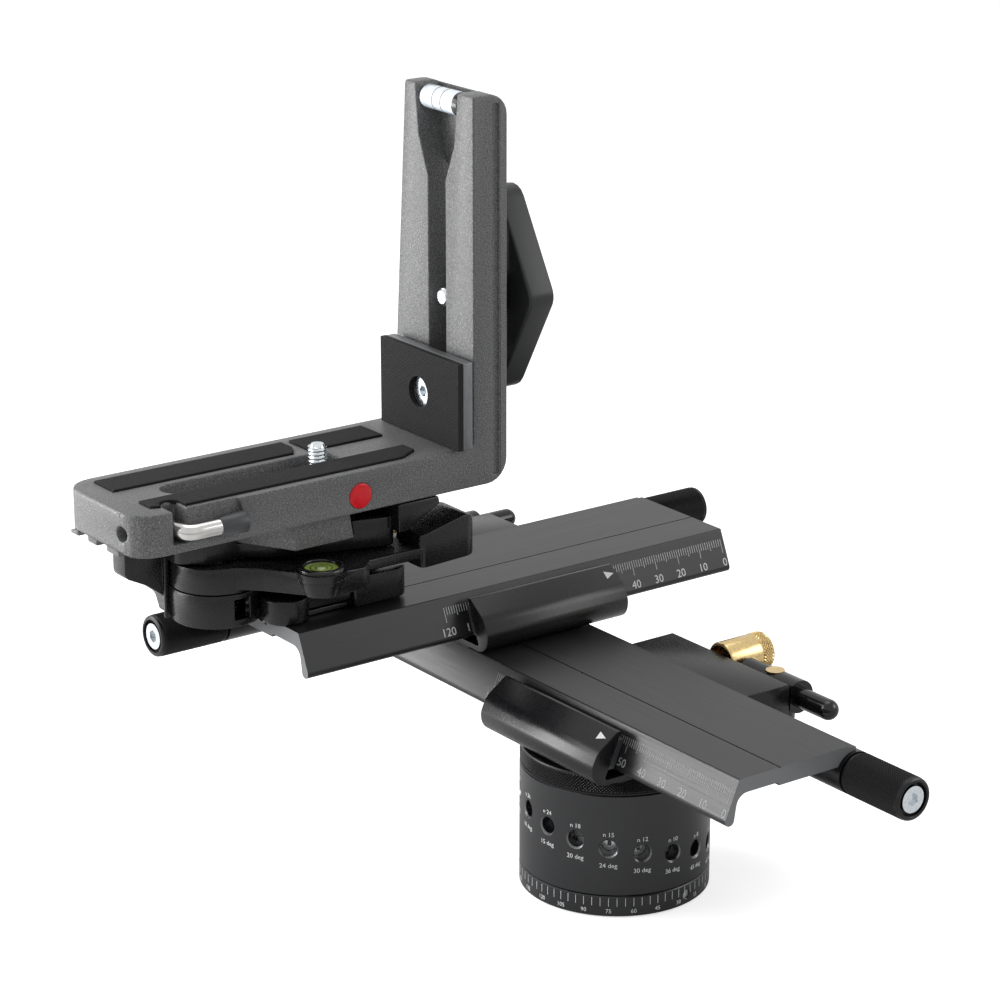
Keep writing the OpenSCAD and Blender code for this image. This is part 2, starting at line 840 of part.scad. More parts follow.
module lever_pin() {
    head_z = lever_z + boss_r - lever_pin_head_t + seat_fit;
    color(brass)
        union() {
            rod_z(platform_z + over + seat_fit, head_z + edge / 2, lever_pin_x, lever_y, lever_pin_r);
            rod_z(head_z, head_z + lever_pin_head_t, lever_pin_x, lever_y, lever_pin_head_r);
        }
}

module clamp_knob() {
    y0 = block_y1 + clamp_knob_gap;
    color(brass)
        difference() {
            union() {
                rod_y(pad_y[1] + seat_fit, y0 + cup_depth + over, clamp_knob_x, clamp_axis_z, clamp_shank_r);
                difference() {
                    translate([clamp_knob_x, y0, clamp_axis_z])
                        rotate([-90, 0, 0])
                            turned(clamp_knob_r, clamp_knob_len);
                    rod_y(y0 - over, y0 + cup_depth, clamp_knob_x, clamp_axis_z, clamp_knob_r - cup_wall);
                }
            }
            rod_y(y0 + clamp_knob_len - cup_wall, y0 + clamp_knob_len + over, clamp_knob_x, clamp_axis_z,
                  clamp_knob_r / 2);
        }
}

module brake_pad() {
    color(rubber)
        union() {
            rod_y(pad_y[0] + toe_len - over, pad_y[1], clamp_knob_x, clamp_axis_z, pad_r);
            block([clamp_knob_x - toe_w / 2, pad_y[0], clamp_axis_z + toe_z[0]],
                  [clamp_knob_x + toe_w / 2, pad_y[0] + toe_len, clamp_axis_z + toe_z[1]]);
        }
}

// Place of the upper slide, a quarter turn from the lower one
module on_upper() {
    translate([-upper_x, upper_y, stack_h])
        rotate([0, 0, 90])
            children();
}

// Quick release clamp

module clamp_body() {
    z0 = upper_plate_z;
    color(casting)
        difference() {
            union() {
                // Spring housing
                rod_z(z0, z0 + housing_h, hub[0], hub[1], hub_r);
                // Foot on the upper plate, with a thin base under its front
                along_z(z0, hub_z0 - gap)
                    polygon(rounded([[-106, -34], [-106, -88], [-84, -88], [-84, -34]], [4, 4, 0, 0]));
                along_z(z0, z0 + 2)
                    polygon([[-85, -35.5], [-85, -87], [-72, -74], [-72, -35.5]]);
                along_z(z0 + 1.2, hub_z0 - gap)
                    polygon(rounded([[-85, -34], [-85, -57], [-67.5, -57], [-67.5, -34]], [0, 0, 1, 6]));
                along_z(z0 + 3.4, hub_z0 - gap)
                    polygon(rounded([[-85, -56], [-85, -75], [-70, -75], [-70, -56]], [0, 0, 1, 0]));
                // Boss under the lever
                translate([-75, -79.5, z0])
                    turned(8, hub_z0 - gap - 2.6 - z0);
                block([-86, -87, z0], [-75, -72, z0 + 4]);
                // Column behind the lever
                along_z(z0, deck_z + over)
                    polygon(rounded([[-106, -34], [-106, -79], [-99, -79], [-93, -76.5], [-84, -63], [-84, -34]],
                                    [4, 2, 2, 2, 3, 4]));
                // Deck under the bracket
                along_z(deck_z, bracket_z - 5.5)
                    polygon(rounded([[-64, -41.5], [-70.5, -64], [-77, -82], [-83, -90], [-84, -104], [-90, -111],
                                     [-108, -111], [-108, -34], [-82, -34], [-78, -41.5]],
                                    [3, 5, 8, 4, 4, 5, 4, 6, 3, 3]));
                // Wing at the left end
                along_x(-108, -100)
                    polygon(rounded([[-124.4, bracket_z - 5.5], [-124.4, 102.4], [-116.5, 98.4], [-109.3, 92.8],
                                     [-107.6, z0], [-100, z0], [-100, bracket_z - 5.5]],
                                    [1, 3, 8, 6, 0, 0, 0]));
                // Flange that rises to the right
                along_x(-102, -60)
                    polygon([[-44, bracket_z - 10], [-44, bracket_z - 0.4], [-28, bracket_z - 0.4],
                             [-27.5, bracket_z - 2.8], [-34, bracket_z - 6.5], [-41, bracket_z - 10]]);
                // Wall that wraps the hub at the back
                intersection() {
                    rod_z(z0, deck_z + over, hub[0], hub[1], hub_r + gap + 2);
                    block([-112, -111, z0], [-98, -84, deck_z + over]);
                }
            }
            // Room for the hub and the lever
            rod_z(hub_z0 - gap, deck_z, hub[0], hub[1], hub_r + gap);
            // Spring cavity and its window
            rod_z(z0 + 1.5, hub_z0, hub[0], hub[1], hub_r - 3);
            rod_z(z0 - over, bracket_z, hub[0], hub[1], pivot_r + seat_fit);
            translate([hub[0], hub[1], 0])
                rotate(4)
                    block([0, -3, z0 + 2.5], [hub_r + over, 3, z0 + housing_h - 2]);
            // Seat of the hexagonal plate and channel of the jaw
            translate([hex_place[0], hex_place[1], hex_z0 - gap])
                rotate(30)
                    cylinder(r1 = hex_flats / sqrt(3) + hex_taper + gap, r2 = hex_flats / sqrt(3) + gap * 2,
                             h = hex_h + over, $fn = 6);
            block([jaw_x - jaw_w / 2 - gap, hub[1] - 10, hex_z0 - gap],
                  [jaw_x + jaw_w / 2 + gap, hex_place[1], bracket_z + over]);
        }
}

module clamp_lever() {
    color(casting)
        difference() {
            union() {
                rod_z(hub_z0, hub_z1, hub[0], hub[1], hub_r);
                along_z(hub_z0 + 1.3, hub_z1)
                    polygon(rounded([[-88, -108], [-71, -90], [-58, -80.5], [-53.5, -72], [-53, -62],
                                     [-58, -57], [-76.5, -57], [-80, -63], [-90, -78], [-99, -84]],
                                    [3, 8, 4, 6, 3, 2, 2, 4, 3, 3]));
                along_z(hub_z1 - 3.6, hub_z1)
                    polygon(rounded([[-58, -60], [-57.5, -17], [-76, -17], [-76, -60]], [0, 2, 2, 0]));
                translate([level_place[0], level_place[1], hub_z0 + 1.3])
                    cylinder(r1 = level_r - level_rim * 2, r2 = level_r + level_rim, h = hub_h - 0.5);
                // Thumb block
                intersection() {
                    along_z(hub_z1 - 7, hub_z1 + 12)
                        polygon(rounded([[-57, -37], [-57, -14], [-74, -14], [-74, -37]], [2, 5, 5, 3]));
                    along_x(-80, -50)
                        polygon(rounded([[-38, hub_z1 - 7], [-13, hub_z1 - 6], [-13, hub_z1 + 10], [-38, hub_z1 + 4]],
                                        [0, 4, 6, 1]));
                }
            }
            rod_z(hub_z0 - over, hub_z1 + over, hub[0], hub[1], pivot_r + run_fit);
            rod_z(hub_z1 - 2, hub_z1 + 2, level_place[0], level_place[1], level_r + seat_fit);
        }
}

module lever_pivot() {
    color(steel)
        rod_z(upper_plate_z + seat_fit, deck_z + 4, hub[0], hub[1], pivot_r);
}

module torsion_spring() {
    color(steel)
        translate([hub[0], hub[1], upper_plate_z + 1.5 + coil_wire_r + gap])
            helix(coil_r, coil_wire_r, coil_pitch, coil_turns);
}

module level_ring() {
    color(black)
        difference() {
            rod_z(hub_z1 - 2 + seat_fit, hub_z1 + 2.2, level_place[0], level_place[1], level_r);
            rod_z(hub_z1 - 3, hub_z1 + 3, level_place[0], level_place[1], vial_r + seat_fit);
        }
}

module level_vial() {
    color("#c7dc3e")
        rod_z(hub_z1 - 2 + seat_fit, hub_z1 + 1.2, level_place[0], level_place[1], vial_r);
}

// The quick release plate under the bracket
module quick_plate() {
    color(steel)
        difference() {
            translate([hex_place[0], hex_place[1], hex_z0])
                rotate(30)
                    cylinder(r1 = hex_flats / sqrt(3) + hex_taper, r2 = hex_flats / sqrt(3),
                             h = hex_h - seat_fit, $fn = 6);
        }
}

module lock_jaw() {
    color(steel)
        difference() {
            block([jaw_x - jaw_w / 2, hub[1] - 10 + jaw_travel + gap, hex_z0],
                  [jaw_x + jaw_w / 2, hex_place[1] - 12, hex_z0 + jaw_t]);
            translate([hex_place[0], hex_place[1], hex_z0 - gap])
                rotate(30)
                    cylinder(r1 = hex_flats / sqrt(3) + hex_taper + gap, r2 = hex_flats / sqrt(3) + gap,
                             h = hex_h, $fn = 6);
        }
}

// Elbow bracket

slot_y1 = -55;
pad_bed = 0.7;
counter_w = 17;
counter_h = 6;

// Edges of the ribs under the plate, as shares of the bracket's width
rib_shares = [[0.29, 0.46], [0.59, 0.72], [0.85, 0.96]];
rib_inset = 1.5;
rib_len = 16;
rib_h = 2.2;

module bracket_section() {
    polygon(rounded([[-bracket_len, bracket_z], [0, bracket_z], [0, bracket_z + arm_h],
                     [-arm_t, bracket_z + arm_h], [-arm_t, bracket_top], [-bracket_len, bracket_top]],
                    [2, 8, 7, 1, 1.5, 1]));
}

module elbow_bracket() {
    color(casting)
        difference() {
            union() {
                along_x(back_x, front_x)
                    bracket_section();
                // Ribs under the end of the plate
                for (s = rib_shares)
                    block([front_x - s[1] * bracket_w, rib_inset - bracket_len, bracket_z - rib_h],
                          [front_x - s[0] * bracket_w, rib_inset + rib_len - bracket_len, bracket_z + over]);
            }
            // Round ends of the plate
            for (end = [[front_x, 1], [back_x, -1]])
                along_z(bracket_z - over, bracket_top + over)
                    translate([end[0], -bracket_len])
                        mirror([end[1] < 0 ? 1 : 0, 0])
                            polygon(concat([[over, -over]], [[over, 10]], arc([-10, 10], 10, 0, -90),
                                           [[-10, -over]]));
            // Slanted back of the arm
            along_y(-arm_t - over, over)
                polygon([[back_x - over, bracket_z + arm_h + over],
                         [back_x + arm_taper, bracket_z + arm_h + over],
                         [back_x + 1, bracket_top + 20],
                         [back_x - over, bracket_top + 20]]);
            // Slot for the camera screw and the channel for its head
            along_z(bracket_z - over, bracket_top + over)
                polygon(rounded([[slot_x - slot_w / 2, slot_y1 - slot_len], [slot_x + slot_w / 2, slot_y1 - slot_len],
                                 [slot_x + slot_w / 2, slot_y1], [slot_x - slot_w / 2, slot_y1]],
                                same(slot_w / 2 - 0.1, 4)));
            along_z(bracket_z - over, bracket_z + counter_h)
                polygon(rounded([[slot_x - counter_w / 2, slot_y1 - slot_len - 3], [slot_x + counter_w / 2, slot_y1 - slot_len - 3],
                                 [slot_x + counter_w / 2, slot_y1 + 3], [slot_x - counter_w / 2, slot_y1 + 3]],
                                same(counter_w / 2 - 0.1, 4)));
            // Slot in the arm and the forked recess at its top
            along_y(-arm_t - over, over)
                polygon(rounded([[slot_x - arm_slot_w / 2, bracket_top + 5], [slot_x + arm_slot_w / 2, bracket_top + 5],
                                 [slot_x + arm_slot_w / 2, bracket_z + arm_h - 22], [slot_x - arm_slot_w / 2, bracket_z + arm_h - 22]],
                                same(arm_slot_w / 2 - 0.1, 4)));
            along_y(-arm_t - over, -4)
                polygon([[slot_x - arm_slot_w / 2, bracket_z + arm_h - 30], [slot_x + arm_slot_w / 2, bracket_z + arm_h - 30],
                         [slot_x + 10, bracket_z + arm_h - 17], [slot_x + 11.9, bracket_z + arm_h + over],
                         [slot_x - 11.9, bracket_z + arm_h + over], [slot_x - 10, bracket_z + arm_h - 17]]);
            // Groove down the side of the arm
            along_x(front_x - 1.2, front_x + over)
                polygon([[-5.8, bracket_z + 3], [-3.2, bracket_z + 3], [-3.2, bracket_z + arm_h - 3], [-5.8, bracket_z + arm_h - 3]]);
            // Recess for the stop lever
            intersection() {
                rod_x(front_x - recess_depth, front_x + over, stop_y, stop_z, stop_len + gap * 2);
                block([front_x - recess_depth - over, stop_y - notch_w / 2, bracket_z + recess_floor],
                      [front_x + over * 2, 0, bracket_top + over]);
            }
            block([front_x - notch_depth_x, stop_y - notch_w / 2, bracket_z + recess_floor],
                  [front_x, stop_y + notch_w / 2, bracket_top + over]);
            rod_x(stop_root_x - over, front_x, stop_y, stop_z, stop_rod_r + run_fit);
            // Side socket
            rod_y(-bracket_len - over, -bracket_len + 10, front_x - 9, bracket_z + 7, 2.55);
            // Beds of the rubber pads
            pad_beds(bracket_top - pad_bed);
            // Bed of the badge
            rod_x(front_x - 0.6, front_x + over, -58.9, bracket_z + 5.7, 4.3 + seat_fit);
        }
}

module pad_beds(z) {
    along_z(z, bracket_top + over) {
        front_pad_outline();
        rear_pad_outline();
    }
}

// Outlines of the pads, as shares of the bracket's width and length from its front face and its heel
front_pad_shares = [[0.317, 0.93], [0.163, 0.93], [0.13, 0.905], [0.076, 0.86], [0.076, 0.28], [0.174, 0.224],
                    [0.317, 0.224]];
rear_pad_shares = [[0.891, 0.937], [0.62, 0.937], [0.62, 0.462], [0.739, 0.441], [0.891, 0.441]];
heel_pad_shares = [[0.891, 0.42], [0.609, 0.42], [0.609, 0.217], [0.891, 0.217]];

function on_bracket(shares) = [for (s = shares) [front_x - s[0] * bracket_w, -s[1] * bracket_len]];

module front_pad_outline() {
    difference() {
        polygon(on_bracket(front_pad_shares));
        translate([front_x - notch_depth_x + notch_w / 2, stop_y])
            circle(r = notch_w / 2 + gap * 2);
        translate([front_x - notch_depth_x + notch_w / 2, stop_y - notch_w / 2 - gap * 2])
            square([notch_depth_x, notch_w + gap * 4]);
    }
}

module rear_pad_outline() {
    polygon(on_bracket(rear_pad_shares));
    polygon(on_bracket(heel_pad_shares));
}

module front_pad() {
    color(rubber)
        along_z(bracket_top - pad_bed + seat_fit, bracket_top + pad_proud)
            offset(delta = -0.1)
                front_pad_outline();
}

module rear_pads() {
    color(rubber)
        along_z(bracket_top - pad_bed + seat_fit, bracket_top + pad_proud)
            offset(delta = -0.1)
                rear_pad_outline();
}

module camera_screw() {
    y = -62;
    color(steel)
        difference() {
            union() {
                rod_z(bracket_z + 0.6, bracket_z + counter_h - gap, slot_x, y, counter_w / 2 - gap * 2);
                rod_z(bracket_z + 2, bracket_top + stud_proud, slot_x, y, stud_r);
            }
            block([slot_x - 0.7, y - 10, bracket_z], [slot_x + 0.7, y + 10, bracket_z + 2]);
        }
}

stop_out = 2.4;
stop_x = front_x + stop_out;
stop_y = 16.8 - bracket_len;
stop_z = bracket_z + 6.9;
stop_len = 21.8;
stop_end_y = stop_y + stop_len - 2;
stop_root_x = front_x - 14.5;
stop_bend_r = 4.2;
notch_w = 6;
notch_depth_x = 9.5;
recess_depth = 1.5;
recess_floor = 3.1;
cap_r0 = 2.95;
cap_r1 = 3.6;
cap_len = 9.6;

// Stations along the bent rod: point, direction and side direction
function stop_stations() =
    let (centre = [stop_x - stop_bend_r, stop_y + stop_bend_r, stop_z])
    concat(
        [for (i = [0 : corner_steps])
            let (t = 90 * i / corner_steps)
            [centre + stop_bend_r * [sin(t), -cos(t), 0], [cos(t), sin(t), 0], [sin(t), -cos(t), 0]]],
        [[[stop_x, stop_end_y, stop_z], [0, 1, 0], [1, 0, 0]]]);

// Tube of one radius through a list of stations
module swept_rod(stations, r, sides = 16) {
    count = len(stations);
    points = [for (s = stations, j = [0 : sides - 1])
        let (a = 360 * j / sides)
        s[0] + r * (cos(a) * s[2] + sin(a) * cross(s[1], s[2]))];
    faces = [
        for (i = [0 : count - 2], j = [0 : sides - 1])
            let (p = i * sides + j,
                 q = i * sides + (j + 1) % sides)
            each [[p, q, q + sides], [p, q + sides, p + sides]],
        for (j = [1 : sides - 2]) [0, j + 1, j],
        for (j = [1 : sides - 2]) [(count - 1) * sides, (count - 1) * sides + j, (count - 1) * sides + j + 1]];
    polyhedron(points, [for (f = faces) [f[0], f[2], f[1]]]);
}

module stop_lever() {
    color(steel)
        union() {
            rod_x(stop_root_x, stop_x - stop_bend_r + seat_fit, stop_y, stop_z, stop_rod_r);
            swept_rod(stop_stations(), stop_rod_r - seat_fit);
        }
}

module stop_cap() {
    color(rubber)
        difference() {
            translate([stop_x, stop_y + stop_len - cap_len, stop_z])
                rotate([-90, 0, 0])
                    cylinder(r1 = cap_r0, r2 = cap_r1, h = cap_len);
            rod_y(stop_y, stop_end_y + seat_fit, stop_x, stop_z, stop_rod_r + seat_fit);
        }
}

module arm_level() {
    color("white")
        rod_x(slot_x - 10.6, slot_x + 10.6, -9, bracket_z + arm_h - 4.8, 4);
}

module camera_plate() {
    y0 = -arm_t - 5.9;
    z0 = bracket_top + gap;
    color(black)
        difference() {
            union() {
                block([slot_x - camera_plate_w / 2 + 0.5, y0, z0],
                      [slot_x + camera_plate_w / 2 + 0.5, -arm_t - 2, z0 + camera_plate_h]);
                block([slot_x - arm_slot_w / 2 - 4, -arm_t - 2.5, z0 + 2],
                      [slot_x + arm_slot_w / 2 + 4, -arm_t - 0.1, z0 + camera_plate_h - 2]);
                block([slot_x - arm_slot_w / 2 + gap, -arm_t - 1, z0 + 9],
                      [slot_x + arm_slot_w / 2 - gap, -arm_t + 8, z0 + 22]);
            }
            rod_y(y0 - over, 0, slot_x, z0 + 15.2, stud_r + seat_fit);
            rod_y(y0 - over, y0 + 3, slot_x, z0 + 15.2, 5.4);
        }
}

module plate_pad() {
    z0 = bracket_top + gap;
    color(rubber)
        difference() {
            block([slot_x - camera_plate_w / 2 + 0.5, -arm_t - 8, z0],
                  [slot_x + camera_plate_w / 2 + 0.5, -arm_t - 5.9 - seat_fit, z0 + camera_plate_h]);
            rod_y(-arm_t - 9, -arm_t, slot_x, z0 + 15.2, 5.4);
        }
}

module plate_screw() {
    z = bracket_top + gap + 15.2;
    color(steel)
        difference() {
            union() {
                rod_y(-arm_t - 6, -arm_t - 2.9 - seat_fit, slot_x, z, 5);
                rod_y(-arm_t - 5, 4, slot_x, z, stud_r);
                rod_y(seat_fit * 3, 3, slot_x, z, 8);
            }
            rod_y(-arm_t - 7, -arm_t - 4, slot_x, z, 2, $fn = 6);
        }
}

module arm_washer() {
    z = bracket_z + diamond_z;
    color(steel)
        difference() {
            rod_y(gap / 3, 2, slot_x, z, 9);
            rod_y(-over, 3, slot_x, z, stud_r + run_fit);
        }
}

module arm_screw() {
    z = bracket_z + diamond_z;
    color(steel)
        rod_y(-12, 14, slot_x, z, stud_r);
}

module diamond_knob() {
    z = bracket_z + diamond_z;
    color(black)
        difference() {
            union() {
                translate([slot_x, 0, z]) {
                    along_y(8, 8 + diamond_t)
                        polygon(rounded([[-diamond_w, 0], [0, -diamond_h], [diamond_w, 0], [0, diamond_h]],
                                        same(6.5, 4)));
                    rod_y(2 + gap, 8.5, 0, 0, 9);
                }
            }
            rod_y(0, 14 + seat_fit, slot_x, z, stud_r + seat_fit);
        }
}

module badge_disc() {
    color("#d8202c")
        rod_x(front_x - 0.6 + seat_fit, front_x + 0.3, -58.9, bracket_z + 5.7, 4.3);
}

base_plate();
scale_ring();
ring_set_screw();
spindle();
index_rings();
bearing_washer();
retaining_washer();
pan_bolt();
index_drum();
plunger_bush();
plunger_pin();
plunger_knob();
platform_disc();
platform_screws();
carriage(true);  // lower_carriage
glide_strip();  // lower_glide_strip
slide_plate(0);  // lower_slide_plate
end_bushes(0);  // lower_end_bushes
lead_screw(0);  // lower_lead_screw
screw_knobs(0);  // lower_screw_knobs
knob_screws(0);  // lower_knob_screws
half_nut();  // lower_half_nut
release_lever();  // lower_release_lever
lever_pin();  // lower_lever_pin
clamp_knob();  // lower_clamp_knob
brake_pad();  // lower_brake_pad
on_upper() carriage(false);  // upper_carriage
on_upper() glide_strip();  // upper_glide_strip
on_upper() slide_plate(upper_shift);  // upper_slide_plate
on_upper() end_bushes(upper_shift);  // upper_end_bushes
on_upper() lead_screw(upper_shift);  // upper_lead_screw
on_upper() screw_knobs(upper_shift);  // upper_screw_knobs
on_upper() knob_screws(upper_shift);  // upper_knob_screws
on_upper() half_nut();  // upper_half_nut
on_upper() release_lever();  // upper_release_lever
on_upper() lever_pin();  // upper_lever_pin
on_upper() clamp_knob();  // upper_clamp_knob
on_upper() brake_pad();  // upper_brake_pad
clamp_body();
clamp_lever();
lever_pivot();
torsion_spring();
level_ring();
level_vial();
lock_jaw();
quick_plate();
elbow_bracket();
front_pad();
rear_pads();
camera_screw();
stop_lever();
stop_cap();
arm_level();
camera_plate();
plate_pad();
plate_screw();
arm_washer();
arm_screw();
diamond_knob();
badge_disc();
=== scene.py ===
"""The look of a panoramic tripod head: its finishes, and the fine pieces, worked out with numpy."""

import json
import math

import bmesh
import bpy
import numpy as np
from mathutils import Matrix, Vector


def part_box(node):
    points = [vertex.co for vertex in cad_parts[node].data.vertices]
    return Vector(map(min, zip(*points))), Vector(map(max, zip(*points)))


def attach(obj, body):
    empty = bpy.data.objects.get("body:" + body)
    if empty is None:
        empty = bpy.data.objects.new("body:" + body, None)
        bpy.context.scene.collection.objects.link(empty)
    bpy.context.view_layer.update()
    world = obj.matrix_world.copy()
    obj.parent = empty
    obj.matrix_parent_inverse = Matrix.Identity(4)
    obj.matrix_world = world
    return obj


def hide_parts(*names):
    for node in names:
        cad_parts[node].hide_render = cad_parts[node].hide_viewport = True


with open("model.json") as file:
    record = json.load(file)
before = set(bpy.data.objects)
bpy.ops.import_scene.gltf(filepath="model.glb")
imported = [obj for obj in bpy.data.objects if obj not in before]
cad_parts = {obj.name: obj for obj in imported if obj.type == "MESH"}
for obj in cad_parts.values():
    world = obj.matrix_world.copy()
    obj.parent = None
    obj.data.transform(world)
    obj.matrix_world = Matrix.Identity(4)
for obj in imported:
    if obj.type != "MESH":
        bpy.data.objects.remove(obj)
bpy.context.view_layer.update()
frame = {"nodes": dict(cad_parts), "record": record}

MM = 0.001
AXES = "xyz"
NODES = frame["nodes"]
BODIES = frame["record"]["behaviour"]["bodies"]
SLOTS = {row["node"]: row["material_slot"] for row in frame["record"]["subparts"]}


def body_of(node):
    """The body that a solid belongs to."""
    return next(body for body, members in BODIES.items() if node in members)


def corners(node):
    """Lowest and highest corner of a solid, in millimetres."""
    low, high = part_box(node)
    return np.array(low) / MM, np.array(high) / MM


# Camera, placed and turned by a fit to the marks of both scales

SENSOR_WIDTH = 36
FOCAL_LENGTH = 117.95
NEAREST = 0.05
FURTHEST = 40
CAMERA_PLACE = Vector((0.77919, -0.62003, 0.45958))
RIGHT = (0.5924, 0.8056, 0.0)
UP = (-0.2521, 0.1854, 0.9498)
BACK = (0.7652, -0.5627, 0.3129)

camera_data = bpy.data.cameras.new("camera")
camera = bpy.data.objects.new("camera", camera_data)
bpy.context.scene.collection.objects.link(camera)
camera_data.sensor_width = SENSOR_WIDTH
camera_data.lens = FOCAL_LENGTH
camera_data.clip_start = NEAREST
camera_data.clip_end = FURTHEST
camera.matrix_world = Matrix.Translation(CAMERA_PLACE) @ Matrix((RIGHT, UP, BACK)).transposed().to_4x4()
bpy.context.scene.camera = camera


# Finishes

NOISE_LOW, NOISE_HIGH = 0.3, 0.7
COAT_ROUGHNESS = 0.06
FLECK_START, FLECK_END = 0.04, 0.06
SMOOTHEST, ROUGHEST = 0.02, 1.0
MIX_FIRST, MIX_SECOND, MIX_RESULT = 6, 7, 2


def finish(name, colour, roughness, metal=0.0, grain=(900, 900, 900), spread=0.12, rough_spread=0.05,
           relief=0.01, specular=0.5, coat=0.0, speckle=None, detail=4.0):
    """One finish: noise on Object coordinates, stretched by grain (cycles a metre), moves the colour by
    spread, the roughness by rough_spread and lifts the surface by relief millimetres. speckle adds pale
    or dark flecks: (cycles a metre, threshold, colour)."""
    material = bpy.data.materials.new(name)
    material.use_nodes = True
    nodes, links = material.node_tree.nodes, material.node_tree.links
    surface = nodes["Principled BSDF"]
    surface.inputs["Metallic"].default_value = metal
    surface.inputs["Specular IOR Level"].default_value = specular
    surface.inputs["Coat Weight"].default_value = coat
    surface.inputs["Coat Roughness"].default_value = COAT_ROUGHNESS
    place = nodes.new("ShaderNodeTexCoord")
    stretch = nodes.new("ShaderNodeMapping")
    stretch.inputs["Scale"].default_value = grain
    noise = nodes.new("ShaderNodeTexNoise")
    noise.inputs["Scale"].default_value = 1.0
    noise.inputs["Detail"].default_value = detail
    links.new(place.outputs["Object"], stretch.inputs["Vector"])
    links.new(stretch.outputs["Vector"], noise.inputs["Vector"])
    ramp = nodes.new("ShaderNodeValToRGB")
    dark, pale = ramp.color_ramp.elements
    dark.position, pale.position = NOISE_LOW, NOISE_HIGH
    dark.color = (*[c * (1 - spread) for c in colour], 1)
    pale.color = (*[min(1, c * (1 + spread)) for c in colour], 1)
    links.new(noise.outputs["Fac"], ramp.inputs["Fac"])
    shade = ramp.outputs["Color"]
    if speckle:
        cycles, threshold, fleck = speckle
        dots = nodes.new("ShaderNodeTexNoise")
        dots.inputs["Scale"].default_value = cycles
        dots.inputs["Detail"].default_value = 2.0
        links.new(place.outputs["Object"], dots.inputs["Vector"])
        cut = nodes.new("ShaderNodeMapRange")
        cut.inputs["From Min"].default_value = threshold - FLECK_START
        cut.inputs["From Max"].default_value = threshold + FLECK_END
        links.new(dots.outputs["Fac"], cut.inputs["Value"])
        mix = nodes.new("ShaderNodeMix")
        mix.data_type = "RGBA"
        links.new(cut.outputs["Result"], mix.inputs["Factor"])
        links.new(shade, mix.inputs[MIX_FIRST])
        mix.inputs[MIX_SECOND].default_value = (*fleck, 1)
        shade = mix.outputs[MIX_RESULT]
    links.new(shade, surface.inputs["Base Color"])
    rough = nodes.new("ShaderNodeMapRange")
    rough.inputs["From Min"].default_value = NOISE_LOW
    rough.inputs["From Max"].default_value = NOISE_HIGH
    rough.inputs["To Min"].default_value = max(SMOOTHEST, roughness - rough_spread)
    rough.inputs["To Max"].default_value = min(ROUGHEST, roughness + rough_spread)
    links.new(noise.outputs["Fac"], rough.inputs["Value"])
    links.new(rough.outputs["Result"], surface.inputs["Roughness"])
    if relief:
        bump = nodes.new("ShaderNodeBump")
        bump.inputs["Strength"].default_value = 1.0
        bump.inputs["Distance"].default_value = relief * MM
        links.new(noise.outputs["Fac"], bump.inputs["Height"])
        links.new(bump.outputs["Normal"], surface.inputs["Normal"])
    return material


# Each row gives name, colour, roughness, metal, grain, spread, rough_spread, relief, and at times specular

